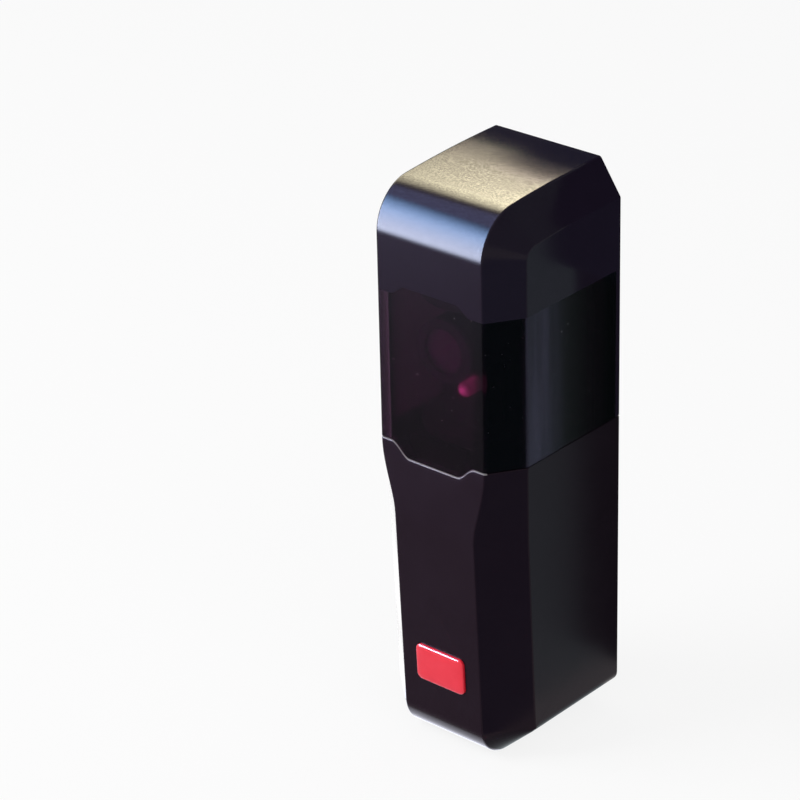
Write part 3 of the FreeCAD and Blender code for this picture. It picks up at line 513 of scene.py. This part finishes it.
def make_badge():
    mesh = bmesh.new()
    rings = stacked_rings(mesh, rounded_rectangle(BADGE_WIDTH, BADGE_HEIGHT, BADGE_CORNER), BADGE_RINGS)
    crown = mesh.verts.new(Vector((0, BADGE_CROWN, 0)) * MM)
    inmost = rings[-1]
    for spot, following in zip(inmost, inmost[1:] + inmost[:1]):
        mesh.faces.new((spot, following, crown))
    mesh.faces.new(rings[0])
    return set_on_front(mesh, "badge_dome")


def badge_recess():
    mesh = bmesh.new()
    width, height = BADGE_WIDTH + 2 * RECESS_GAP, BADGE_HEIGHT + 2 * RECESS_GAP
    outline = rounded_rectangle(width, height, BADGE_CORNER + RECESS_GAP)
    for ring in stacked_rings(mesh, outline, [(1.0, RECESS_BACK), (1.0, RECESS_FRONT)]):
        mesh.faces.new(ring)
    return set_on_front(mesh, "badge_recess")


# Node trees of the finishes and the grown pieces
class Shade:
    """A socket that plain operators work on."""

    def __init__(self, owner, socket):
        self.owner, self.socket = owner, socket

    def maths(self, operation, first, second=0.0):
        return self.owner.node("ShaderNodeMath", {"operation": operation}, {0: first, 1: second})

    def __add__(self, other):
        return self.maths("ADD", self, other)

    def __radd__(self, other):
        return self.maths("ADD", other, self)

    def __sub__(self, other):
        return self.maths("SUBTRACT", self, other)

    def __rsub__(self, other):
        return self.maths("SUBTRACT", other, self)

    def __mul__(self, other):
        return self.maths("MULTIPLY", self, other)

    def __rmul__(self, other):
        return self.maths("MULTIPLY", other, self)

    def __truediv__(self, other):
        return self.maths("DIVIDE", self, other)

    def __rtruediv__(self, other):
        return self.maths("DIVIDE", other, self)

    def __abs__(self):
        return self.maths("ABSOLUTE", self)

    def eased(self, low, high, to_low=0.0, to_high=1.0):
        """Smooth rise from one value to another."""
        ends = {"From Min": low, "From Max": high, "To Min": to_low, "To Max": to_high}
        smooth = {"interpolation_type": "SMOOTHSTEP"}
        return self.owner.node("ShaderNodeMapRange", smooth, {"Value": self, **ends})

    def spread(self, low, high):
        """The usual range of a noise drawn out between two values."""
        return self.eased(NOISE_LOW, NOISE_HIGH, low, high)


class Tree:
    """A node tree and the single way nodes are added to it."""

    def __init__(self, tree, output):
        self.tree = tree
        self.tree.nodes.clear()
        self.output = self.tree.nodes.new(output)

    def node(self, kind, settings=None, inputs=None, result=0):
        made = self.tree.nodes.new(kind)
        for key, value in (settings or {}).items():
            setattr(made, key, value)
        for key, value in (inputs or {}).items():
            if isinstance(value, Shade):
                self.tree.links.new(value.socket, made.inputs[key])
            else:
                made.inputs[key].default_value = value
        return Shade(self, made.outputs[result])

    def mixed(self, share, first, second):
        """One surface turning into another."""
        return self.node("ShaderNodeMixShader", inputs={0: share, 1: first, 2: second})

    def done(self, surface):
        self.tree.links.new(surface.socket, self.output.inputs["Surface"])


class Growth(Tree):
    """Repeated geometry grown by nodes and kept as a plain mesh."""

    def __init__(self, name):
        super().__init__(bpy.data.node_groups.new(name, "GeometryNodeTree"), "NodeGroupOutput")
        self.tree.interface.new_socket("Geometry", in_out="OUTPUT", socket_type="NodeSocketGeometry")
        self.source = self.tree.nodes.new("NodeGroupInput")
        self.values = {}

    def asked(self, label, value, kind="NodeSocketFloat"):
        """Named input of the tree, and the value it is set to."""
        socket = self.tree.interface.new_socket(label, in_out="INPUT", socket_type=kind)
        self.values[socket.identifier] = value
        return Shade(self, self.source.outputs[label])

    def grown(self, name, geometry, material):
        spread = self.node("GeometryNodeRealizeInstances", inputs={"Geometry": geometry})
        painted = self.node("GeometryNodeSetMaterial", inputs={"Geometry": spread, "Material": material})
        self.tree.links.new(painted.socket, self.output.inputs["Geometry"])
        piece = piece_from(bmesh.new(), name)
        grower = piece.modifiers.new("grow", "NODES")
        grower.node_group = self.tree
        for identifier, value in self.values.items():
            grower[identifier] = value
        baked = bpy.data.meshes.new_from_object(piece.evaluated_get(bpy.context.evaluated_depsgraph_get()))
        piece.modifiers.clear()
        piece.data = baked
        return piece


class Finish(Tree):
    """A material made of nodes."""

    def __init__(self, name):
        self.material = bpy.data.materials.new(name)
        self.material.use_nodes = True
        super().__init__(self.material.node_tree, "ShaderNodeOutputMaterial")

    def where(self):
        """Object coordinates in millimetres: the vector and its three parts."""
        spot = self.node("ShaderNodeTexCoord", result="Object")
        spot = self.node("ShaderNodeVectorMath", {"operation": "SCALE"}, {0: spot, "Scale": 1 / MM})
        parts = [self.node("ShaderNodeSeparateXYZ", inputs={0: spot}, result=i) for i in range(3)]
        return spot, parts

    def along(self, spot, start, axis):
        """Distance along an axis from a start."""
        run = self.node("ShaderNodeVectorMath", {"operation": "DOT_PRODUCT"}, {0: spot, 1: axis}, "Value")
        return run - axis.dot(start)

    def noise(self, spot, scale, detail=2.0, rough=0.5):
        look = {"Scale": scale, "Detail": detail, "Roughness": rough}
        return self.node("ShaderNodeTexNoise", inputs={"Vector": spot, **look})

    def tint(self, share, low, high):
        """Colour between two colours."""
        low, high = [end if isinstance(end, Shade) else (*end, 1) for end in (low, high)]
        return self.node("ShaderNodeMix", {"data_type": "RGBA"}, {0: share, 6: low, 7: high}, result=2)

    def bump(self, height, distance, strength):
        look = {"Distance": distance * MM, "Strength": strength}
        return self.node("ShaderNodeBump", inputs={"Height": height, **look})

    def principled(self, inputs):
        return self.node("ShaderNodeBsdfPrincipled", inputs=inputs)

    def done(self, surface):
        super().done(surface)
        return self.material


def spark_top(finish, spot, x, y, z, speck):
    """Spark texture of the hood's top, rubbed smoother towards the right of its rear."""
    cloud = finish.noise(spot, 0.12)
    grain = finish.noise(spot, 2.4, 4.0, 0.7)
    sparkle = grain.eased(0.36, 0.64, -1.0, 1.0) * z.eased(TOP - 5, TOP - 1, 0.02, 0.08)
    lustre = z.eased(TOP - 10, TOP - 2, 0.19, 0.15) + cloud * 0.01
    relief = grain * z.eased(TOP - 5, TOP - 1.5, 0.15, 1.0)

    def texture(softness, depth):
        return finish.principled({
            "Base Color": finish.tint(cloud, (0.0085, 0.005, 0.012), (0.011, 0.0065, 0.015)),
            "Roughness": lustre * softness,
            "Specular IOR Level": 0.045,
            "Coat Weight": sparkle + speck * 0.15 + 0.15,
            "Coat Roughness": 0.16 * softness,
            "Normal": finish.bump(relief, 0.05, depth),
        })

    rubbed = x.eased(*RUBBED_ACROSS) * y.eased(*RUBBED_BACK)
    return finish.mixed(rubbed, texture(1.0, 0.5), texture(0.65, 0.2))


def window_pane(finish, spot, x, y, speck):
    """Polished window with painted shade: darker glass at the jambs and corners of its front pane and on its
    side walls, and a faint painted sheen on its sides.
    """
    beside = abs(x)
    # Painted shade: the glass tint darkens at the jambs, at the corners of the front pane and on the side
    # walls.
    corner = beside.eased(HOOD_INNER_CREASE - CORNER_BLUR, HOOD_INNER_CREASE)
    corner = corner * (y + DEPTH).eased(CORNER_SIDE + CORNER_BLUR, CORNER_SIDE - CORNER_BLUR)
    flank = beside.eased(HALF_WIDTH - WALL - 0.5, HALF_WIDTH - WALL - 0.1)
    glass = finish.tint(beside.eased(*JAMB_PAINTED_SHADE), (0.125, 0.05, 0.097), (0.018, 0.0065, 0.013))
    glass = finish.tint(flank, glass, (0.07, 0.03, 0.06))
    glass = finish.tint(corner, glass, (0.014, 0.006, 0.012))
    pane = finish.principled({
        "Base Color": finish.tint(speck, glass, (0.25, 0.2, 0.24)),
        "Roughness": speck.eased(0.0, 1.0, 0.23, 0.4),
        "IOR": 1.16,
        "Transmission Weight": 1.0,
        "Normal": finish.bump(finish.noise(spot, 0.09, 1.0), 0.03, 0.15),
    })
    # Painted sheen: a pale streaked film lightens the outer sides of the window.
    painted_sheen = finish.principled({
        "Base Color": (0.35, 0.34, 0.6, 1),
        "Roughness": 0.6,
        "Specular IOR Level": 0.1,
    })
    upright = finish.node("ShaderNodeMapping", inputs={"Vector": spot, "Scale": (1, 1, 0.05)})
    streak = finish.noise(upright, 0.5).spread(0.5, 1.0)
    outside = beside.eased(HALF_WIDTH - 0.3, HALF_WIDTH - 0.05)
    return finish.mixed(outside * y.eased(*SHEEN_PAINTED_REACH) * streak * SHEEN_PAINTED_SHARE, pane, painted_sheen)


def tinted_hood_finish():
    """Infrared-pass plastic: polished window between the seam and the spark-textured top."""
    finish = Finish("tinted_hood")
    spot, (x, y, z) = finish.where()
    border = abs(x).eased(WINDOW_FLAT, WINDOW_SHOULDER, WINDOW_TOP + WINDOW_RISE, WINDOW_TOP)
    matte = (z - border).eased(-BORDER_BLUR, BORDER_BLUR)
    matte = matte.maths("MAXIMUM", matte, y.eased(*WALL_STRIP))
    speck = finish.noise(spot, 1.1).eased(0.74, 0.78)
    pane = window_pane(finish, spot, x, y, speck)
    return finish.done(finish.mixed(matte, pane, spark_top(finish, spot, x, y, z, speck)))


def satin_cover_finish():
    """Satin black plastic, smoother at the toe, with a pale painted highlight on the lip at the seam."""
    finish = Finish("satin_cover")
    spot, (x, y, z) = finish.where()
    grain = finish.noise(spot, 4.5, 3.0, 0.6)
    cloud = finish.noise(spot, 0.1)
    plastic = finish.principled({
        "Base Color": finish.tint(cloud, (0.007, 0.003, 0.006), (0.009, 0.0042, 0.0078)),
        "Roughness": cloud.spread(0.24, 0.27) * z.eased(FLOOR + 7, FLOOR + 13, 0.75, 1.0),
        "Specular IOR Level": 0.11,
        "Specular Tint": (1.0, 0.8, 0.96, 1),
        "Normal": finish.bump(grain, 0.012, 0.25),
    })
    # Painted highlight: pale grey on the lip just under the seam stands in for the seam's edge highlight.
    painted_seam_highlight = finish.principled({
        "Base Color": finish.tint(cloud, (0.24, 0.225, 0.235), (0.33, 0.315, 0.325)),
        "Roughness": cloud.spread(0.45, 0.55),
        "Specular IOR Level": 0.02,
    })
    seam = abs(x).eased(DIP_HALF, SHOULDER_HALF, SEAM - SEAM_DIP, SEAM)
    seam_highlight_mask = (z - seam).eased(*SEAM_HIGHLIGHT_BELOW) * (y + DEPTH).eased(*SEAM_HIGHLIGHT_BEHIND_FRONT)
    return finish.done(finish.mixed(seam_highlight_mask, plastic, painted_seam_highlight))


def badge_finish():
    finish = Finish("badge_red")
    spot, _ = finish.where()
    cloud = finish.noise(spot, 0.4)
    return finish.done(finish.principled({
        "Base Color": finish.tint(cloud, (0.88, 0.02, 0.04), (0.95, 0.03, 0.055)),
        "Roughness": cloud.spread(0.2, 0.26),
        "Specular IOR Level": 0.35,
        "Coat Weight": 0.25,
        "Coat Roughness": 0.03,
    }))


def moulded_finish(name, low, high, roughness, grain_size=4.0, depth=0.02):
    """Plain moulded plastic or rubber with a fine spark grain."""
    finish = Finish(name)
    spot, _ = finish.where()
    grain = finish.noise(spot, grain_size, 3.0, 0.6)
    cloud = finish.noise(spot, 0.15)
    return finish.done(finish.principled({
        "Base Color": finish.tint(cloud, low, high),
        "Roughness": cloud.spread(roughness - 0.05, roughness + 0.05),
        "Specular IOR Level": 0.4,
        "Normal": finish.bump(grain, depth, 0.4),
    }))


def metal_finish(name, low, high, roughness):
    finish = Finish(name)
    spot, _ = finish.where()
    streak = finish.noise(spot, 2.5, 4.0, 0.7)
    return finish.done(finish.principled({
        "Base Color": finish.tint(streak, low, high),
        "Metallic": 1.0,
        "Roughness": streak.spread(roughness - 0.08, roughness + 0.08),
        "Normal": finish.bump(streak, 0.01, 0.3),
    }))


def lens_finish():
    finish = Finish("lens_clear")
    spot, _ = finish.where()
    cloud = finish.noise(spot, 0.5, 1.0)
    return finish.done(finish.principled({
        "Base Color": finish.tint(cloud, (0.8, 0.6, 0.74), (0.9, 0.7, 0.84)),
        "Roughness": cloud.spread(0.12, 0.2),
        "Coat Weight": 1.0,
    }))


def lamp_finish():
    """Lit red epoxy, brightest along its middle and towards its back."""
    finish = Finish("lamp_red")
    spot, (x, y, z) = finish.where()
    cloud = finish.noise(spot, 0.9)
    reach = finish.node("ShaderNodeCombineXYZ", inputs={0: x - LAMP_X, 2: z - LAMP_LEVEL})
    reach = finish.node("ShaderNodeVectorMath", {"operation": "LENGTH"}, {0: reach}, "Value")
    heart = reach.eased(LAMP_HEART, LAMP_RIM, 1.0, 0.15) * y.eased(LAMP_FRONT, LAMP_BACK, 0.5, 1.0)
    return finish.done(finish.principled({
        "Base Color": finish.tint(cloud, (0.3, 0.01, 0.05), (0.4, 0.03, 0.08)),
        "Roughness": cloud.spread(0.15, 0.25),
        "Emission Color": finish.tint(heart * cloud.spread(0.6, 1.0), (0.02, 0.0, 0.01), (1.0, 0.16, 0.5)),
        "Emission Strength": 5.0,
    }))


def board_finish():
    """Green solder mask with faint tracks."""
    finish = Finish("board_green")
    spot, _ = finish.where()
    cells = {"distance": "CHEBYCHEV", "feature": "DISTANCE_TO_EDGE"}
    line = finish.node("ShaderNodeTexVoronoi", cells, {"Vector": spot, "Scale": 0.4}).eased(0.05, 0.09)
    return finish.done(finish.principled({
        "Base Color": finish.tint(line, (0.05, 0.24, 0.10), (0.02, 0.13, 0.05)),
        "Roughness": line.eased(0.0, 1.0, 0.3, 0.4),
        "Normal": finish.bump(line, 0.03, 0.4),
    }))


# Threads: one winding ridge on the core of every screw of a kind
def screw_threads(name, first, apart, count, turn, length, thread, material):
    growth = Growth(name)
    run = growth.asked("Length", length * MM)
    radius = growth.asked("Core radius", thread["core"] * MM)
    coil = growth.node("GeometryNodeCurveSpiral", inputs={
        "Resolution": COIL_STEPS,
        "Rotations": run / growth.asked("Pitch", thread["pitch"] * MM),
        "Start Radius": radius,
        "End Radius": radius,
        "Height": run,
    })
    coil = growth.node("GeometryNodeSetCurveNormal", {"mode": "Z_UP"}, {"Curve": coil})
    crest = growth.node("GeometryNodeCurvePrimitiveCircle", inputs={
        "Resolution": RIDGE_SIDES,
        "Radius": growth.asked("Ridge height", thread["ridge"] * MM),
    })
    winding = growth.node("GeometryNodeCurveToMesh", inputs={
        "Curve": coil,
        "Profile Curve": crest,
        "Fill Caps": True,
    })
    spots = growth.node("GeometryNodeMeshLine", inputs={
        "Count": growth.asked("Count", count, "NodeSocketInt"),
        "Start Location": growth.asked("First", Vector(first) * MM, "NodeSocketVector"),
        "Offset": growth.asked("Apart", Vector(apart) * MM, "NodeSocketVector"),
    })
    threads = growth.node("GeometryNodeInstanceOnPoints", inputs={
        "Points": spots,
        "Instance": winding,
        "Rotation": (turn, 0, 0),
    })
    finished(growth.grown(name, threads, material), "housing", None, material)


def make_threads(steel):
    """Threads of the screws that come in pairs and point to the wall, and of the one that points up."""
    to_wall = -math.pi / 2
    hood_screw = (LUG_SCREW_X, LUG_FRONT + HOOD_SCREW_SEAT, LUG_LEVEL)
    for name, (x, y, z), length, thread in (
        ("hood_screw_threads", hood_screw, HOOD_SCREW_LENGTH, COARSE_THREAD),
        ("bridge_screw_threads", BRIDGE_SCREW, BRIDGE_SCREW_LENGTH, FINE_THREAD),
        ("board_screw_threads", BOARD_SCREW, BOARD_SCREW_LENGTH, FINE_THREAD),
    ):
        screw_threads(name, (-x, y, z), (2 * x, 0, 0), 2, to_wall, length, thread, steel)
    foot = (0, COVER_SCREW_Y, FLOOR + COVER_SCREW_SEAT)
    screw_threads("cover_screw_thread", foot, (0, 0, 0), 1, 0, COVER_SCREW_LENGTH, COARSE_THREAD, steel)


# Hood with its two screw lugs, lower cover with its tongue and screw boss
def make_lug(side):
    near, far = sorted((side * LUG_INNER, side * (HALF_WIDTH - WALL - LUG_CLEARANCE)))
    lug = soft_block("lug", (near, LUG_FRONT, LUG_LOW), (far, LUG_SEAT, SEAM + LUG_ABOVE_SEAM))
    x = side * LUG_SCREW_X
    start, end = (x, LUG_FRONT - PAST, LUG_LEVEL), (x, LUG_SEAT + PAST, LUG_LEVEL)
    return carved(lug, [round_bar("lug_hole", start, end, LUG_HOLE)])


def make_hood():
    whole = merged(make_hood_shell(), [make_lug(-1), make_lug(1)])
    finished(whole, "housing", "hood", tinted_hood_finish())


def cover_screw_bar(name, low, high, radius):
    """Round bar on the cover screw's axis, between two heights above the floor."""
    return round_bar(name, (0, COVER_SCREW_Y, FLOOR + low), (0, COVER_SCREW_Y, FLOOR + high), radius)


def make_cover():
    shell = carved(make_cover_shell(), [
        badge_recess(),
        cover_screw_bar("screw_sink", -PAST, SINK_DEPTH, SINK_RADIUS),
        cover_screw_bar("screw_hole", -PAST, COVER_HOLE_END, COVER_HOLE),
    ])
    boss = carved(cover_screw_bar("cover_boss", BOSS_FOOT, BOSS_TOP, BOSS_RADIUS),
                  [cover_screw_bar("boss_hole", PAST, COVER_HOLE_END, COVER_HOLE)])
    front = -DEPTH + WALL + TONGUE_GAP
    low = (-TONGUE_HALF, front, SEAM - SEAM_DIP - TONGUE_ROOT)
    high = (TONGUE_HALF, front + TONGUE_THICK, SEAM + TONGUE_RISE)
    whole = merged(shell, [boss, soft_block("tongue", low, high)])
    finished(whole, "housing", "lower_cover", satin_cover_finish())


# Finishes of the solids that keep their own shape
BLACK = moulded_finish("base_black", (0.016, 0.016, 0.017), (0.026, 0.026, 0.027), 0.5)
RUBBER = moulded_finish("black_rubber", (0.012, 0.012, 0.012), (0.02, 0.02, 0.02), 0.7, 2.0, 0.03)
STEEL = metal_finish("zinc_plated", (0.55, 0.55, 0.52), (0.68, 0.67, 0.62), 0.32)
BRASS = metal_finish("clamp_brass", (0.65, 0.5, 0.22), (0.78, 0.63, 0.32), 0.35)
CAN = metal_finish("can_aluminium", (0.6, 0.6, 0.62), (0.74, 0.74, 0.76), 0.3)
NYLON = moulded_finish("natural_nylon", (0.72, 0.71, 0.66), (0.82, 0.81, 0.77), 0.45)
TURRET = moulded_finish("turret_grey", (0.17, 0.175, 0.17), (0.23, 0.235, 0.23), 0.45)
RING = moulded_finish("ring_grey", (0.3, 0.29, 0.3), (0.36, 0.35, 0.36), 0.5)
EPOXY = moulded_finish("dark_epoxy", (0.02, 0.02, 0.023), (0.03, 0.03, 0.034), 0.4)
TERMINAL = moulded_finish("terminal_grey", (0.3, 0.33, 0.31), (0.38, 0.41, 0.39), 0.45)
RELAY = moulded_finish("relay_case", (0.03, 0.03, 0.034), (0.045, 0.045, 0.05), 0.3)
LEAD = moulded_finish("lead_grey", (0.25, 0.25, 0.25), (0.32, 0.32, 0.32), 0.55)
SOLIDS_BY_FINISH = (
    (BLACK, ("base", "pivot_bridge")),
    (RUBBER, ("rim_seal", "cable_grommet")),
    (STEEL, ("cover_screw", "hood_screws", "bridge_screws", "board_screws", "terminal_screws")),
    (BRASS, ("terminal_clamps",)),
    (CAN, ("capacitor",)),
    (NYLON, ("friction_washer", "lead_socket", "lead_plug")),
    (TURRET, ("optic_turret",)),
    (RING, ("lens_ring",)),
    (EPOXY, ("photodiode", "microcontroller", "jumper_pins", "jumper_cap")),
    (TERMINAL, ("terminal_block",)),
    (RELAY, ("relay",)),
    (LEAD, ("optic_lead",)),
    (lamp_finish(), ("status_lamp",)),
    (board_finish(), ("diode_board", "main_board")),
    (lens_finish(), ("lens",)),
)


def dress_solids():
    for material, nodes in SOLIDS_BY_FINISH:
        for node in nodes:
            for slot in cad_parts[node].material_slots:
                slot.material = material


# Studio: pale floor, two soft lamps, and bright and dark cards that only reflections see
UP = (0, 0, 1)
TO_FRONT = (0, -1, 0)
WHITE = (1, 1, 1, 1)
BLACK_OUT = (0, 0, 0)
FLOOR_REACH = 3.0
FLOOR_GLOW = 0.86
ROOM_LIGHT = 0.45
BACKDROP = 0.92
SOFT_BOX_DISTANCE = 0.9


def seen_ray(tree):
    """1 where the camera looks at a thing, directly, in a reflection or through glass."""
    seen = tree.node("ShaderNodeLightPath", result="Is Camera Ray")
    for ray in ("Is Glossy Ray", "Is Transmission Ray"):
        seen = seen.maths("MAXIMUM", seen, tree.node("ShaderNodeLightPath", result=ray))
    return seen


def stage_finish():
    """Pale paper that keeps the shadow and is lifted to white where it is looked at."""
    finish = Finish("pale_floor")
    spot, _ = finish.where()
    pale = finish.tint(finish.noise(spot, 0.01, 1.0), (0.84, 0.84, 0.85), (0.86, 0.86, 0.86))
    paper = finish.node("ShaderNodeBsdfDiffuse", inputs={"Color": pale})
    glow = finish.node("ShaderNodeEmission", inputs={"Color": WHITE, "Strength": 1.0})
    return finish.done(finish.mixed(seen_ray(finish) * FLOOR_GLOW, paper, glow))


def make_floor():
    mesh = bmesh.new()
    bmesh.ops.create_grid(mesh, x_segments=8, y_segments=8, size=FLOOR_REACH)
    mesh.transform(Matrix.Translation(Vector((0, 0, FLOOR)) * MM))
    floor = piece_from(mesh, "studio_floor")
    floor.data.materials.append(stage_finish())


def soft_box(name, direction, size, level):
    """Soft lamp whose level is the brightness it gives a white card at the middle of the object."""
    lamp = bpy.data.lights.new(name, "AREA")
    lamp.size = size
    lamp.energy = level * math.pi ** 2 * SOFT_BOX_DISTANCE ** 2
    aim = Vector((0, -DEPTH / 2, 0)) * MM
    spot = aim + Vector(direction).normalized() * SOFT_BOX_DISTANCE
    made = bpy.data.objects.new(name, lamp)
    made.matrix_world = Matrix.Translation(spot) @ (spot - aim).to_track_quat("Z", "Y").to_matrix().to_4x4()
    made.visible_camera = made.visible_glossy = False
    bpy.context.scene.collection.objects.link(made)


def reflection_card(name, middle, facing, size, shade, strength, roll=0.0):
    """Card that only reflections see; its shade is a colour or a function of the height and side on it."""
    finish = Finish(name)
    turn = Vector(facing).normalized().to_track_quat("Z", "Y").to_matrix() @ Matrix.Rotation(roll, 3, "Z")
    side, height = (finish.along(finish.where()[0], Vector(middle), turn.col[axis]) for axis in (0, 1))
    colour = shade(finish, height, side) if callable(shade) else (*shade, 1)
    glow = finish.node("ShaderNodeEmission", inputs={"Color": colour, "Strength": strength})
    mesh = bmesh.new()
    bmesh.ops.create_grid(mesh, x_segments=1, y_segments=1, size=0.5, matrix=Matrix.Diagonal((*size, 1, 1)))
    mesh.transform(Matrix.Translation(Vector(middle) * MM) @ turn.to_4x4() @ Matrix.Scale(MM, 4))
    card = piece_from(mesh, name)
    card.data.materials.append(finish.done(glow))
    card.visible_camera = card.visible_diffuse = card.visible_shadow = card.visible_transmission = False


def hung_card(name, aim, direction, distance, size, shade, strength, nudge=(0, 0, 0), roll=0.0):
    """Reflection card at a distance from a spot of the hood, turned towards it."""
    direction = Vector(direction).normalized()
    middle = aim + distance * direction + Vector(nudge)
    reflection_card(name, middle, -direction, size, shade, strength, roll)


def front_shade(finish, height, _):
    """Mauve grey, darker where the card meets the toe of the cover."""
    return finish.tint(height.eased(170, 196), (0.68, 0.55, 0.68), (0.42, 0.42, 0.48))


def cool_shade(finish, height, _):
    """White-blue at the foot of the card, deeper blue and fading towards its head."""
    hue = finish.tint(height.eased(-130, 140), (0.70, 0.77, 1.0), (0.32, 0.56, 1.0))
    return finish.tint(height.eased(-178, -122) * height.eased(190, 10), BLACK_OUT, hue)


def warm_shade(finish, height, side):
    """Straw yellow, brighter to one side, with a slanting mauve edge at the foot and a fade at the head."""
    foot = height - side * 0.29
    level = foot.eased(-92.5, -88) * height.eased(-68, -58, 0.57, 1.0) * height.eased(94, 44)
    level = level * side.eased(60, 42) * (side + height * 0.25).eased(-38, 22, 0.37, 1.0)
    hue = finish.tint(foot.eased(-80, -92), (1.0, 0.9, 0.62), (1.0, 0.78, 0.71))
    return finish.tint(level, BLACK_OUT, hue)


def make_floor_cards():
    """Cards lying just over the floor: middle, height above the floor, size, shade and strength."""
    for name, (x, y), lift, size, shade, strength in (
        ("front_card", (-205, -237), 1.0, (430, 405), front_shade, 1.0),
        ("bevel_card", (257, -218), 1.0, (486, 364), (0.25, 0.36, 0.5), 1.0),
        ("flank_card", (265, 245), 1.0, (470, 510), (0.5, 0.66, 0.68), 1.0),
        ("rim_card", (-74, 17), 1.0, (106, 92), (1.0, 1.0, 1.0), 2.9),
        ("toe_card", (-16, -17), 0.5, (56, 34), (0.86, 0.88, 1.0), 2.9),
        ("heel_card", (16, -16), 0.6, (12, 36), (0.62, 0.7, 0.73), 1.0),
        # foot_card: a dark card under the footprint, a painted contact shadow that only reflections see
        ("foot_card", (-4, -13), 0.7, (27, 27), (0.2, 0.22, 0.25), 1.0),
    ):
        reflection_card(name, (x, y, FLOOR + lift), UP, size, shade, strength)


def make_hung_cards():
    """Cards hanging round the nose and the crest of the hood, and two dark ones standing behind it."""
    nose = Vector((-6, -DEPTH, 50))
    crest = Vector((0, -20, TOP))
    warm_roll = math.radians(24.7)
    hung_card("cool_card", nose, (-0.62, -0.73, 0.23), 240, (195, 360), cool_shade, 64.0, nudge=(-25, 21, 18))
    hung_card("dusk_card", nose, (-0.59, -0.19, 0.78), 300, (200, 200), (0.5, 0.55, 1.0), 6.0)
    hung_card("warm_card", crest, (-0.593, 0.47, 0.68), 260, (240, 232), warm_shade, 34.0, roll=warm_roll)
    hung_card("crest_card", crest, (0.75, 0.2, 0.63), 220, (560, 330), (0.36, 0.44, 0.47), 1.0)
    reflection_card("rear_card", (28, 14, 0), TO_FRONT, (22, 118), (0.03, 0.05, 0.06), 1.0)
    reflection_card("top_shade", (-20, 6, TOP - 9), TO_FRONT, (120, 38), (0.05, 0.08, 0.13), 1.0)


def make_room():
    """World that lights evenly and shows as a white backdrop."""
    world = bpy.data.worlds.new("studio")
    bpy.context.scene.world = world
    world.use_nodes = True
    room = Tree(world.node_tree, "ShaderNodeOutputWorld")
    light, backdrop = [room.node("ShaderNodeBackground", inputs={"Color": WHITE, "Strength": strength})
                       for strength in (ROOM_LIGHT, BACKDROP)]
    room.done(room.mixed(seen_ray(room), light, backdrop))


def make_studio():
    make_floor()
    soft_box("key_lamp", (-0.55, -0.6, 0.75), 0.5, 0.62)
    soft_box("fill_lamp", (0.7, -0.3, 0.6), 0.6, 0.15)
    make_floor_cards()
    make_hung_cards()
    make_room()


# Camera at the photograph's viewpoint: angles in degrees, places in millimetres, focal length in pixels
CAMERA_TURN = 41.506
CAMERA_RISE = 26.435
CAMERA_ROLL = -1.39
CAMERA_AIM = (0, -17.307, 3.55)
CAMERA_RIGHT = -17.444
CAMERA_UP = 6.682
CAMERA_BACK = 649.79
FOCAL_PIXELS = 3406.98
PHOTO_PIXELS = 800
SENSOR = 36


def make_camera():
    turn, rise, roll = (math.radians(angle) for angle in (CAMERA_TURN, CAMERA_RISE, CAMERA_ROLL))
    back = Vector((math.sin(turn) * math.cos(rise), -math.cos(turn) * math.cos(rise), math.sin(rise)))
    level = Vector((math.cos(turn), math.sin(turn), 0))
    upright = back.cross(level)
    right = math.cos(roll) * level + math.sin(roll) * upright
    up = -math.sin(roll) * level + math.cos(roll) * upright
    spot = Vector(CAMERA_AIM) + CAMERA_RIGHT * right + CAMERA_UP * up + CAMERA_BACK * back
    data = bpy.data.cameras.new("camera")
    data.sensor_width = SENSOR
    data.lens = FOCAL_PIXELS / PHOTO_PIXELS * SENSOR
    camera = bpy.data.objects.new("camera", data)
    axes = Matrix((right, up, back)).transposed().to_4x4()
    camera.matrix_world = Matrix.Translation(spot * MM) @ axes
    bpy.context.scene.collection.objects.link(camera)
    bpy.context.scene.camera = camera


make_hood()
make_cover()
finished(make_badge(), "housing", "badge", badge_finish())
make_threads(STEEL)
dress_solids()
make_studio()
make_camera()
bpy.context.scene.view_settings.view_transform = "Standard"
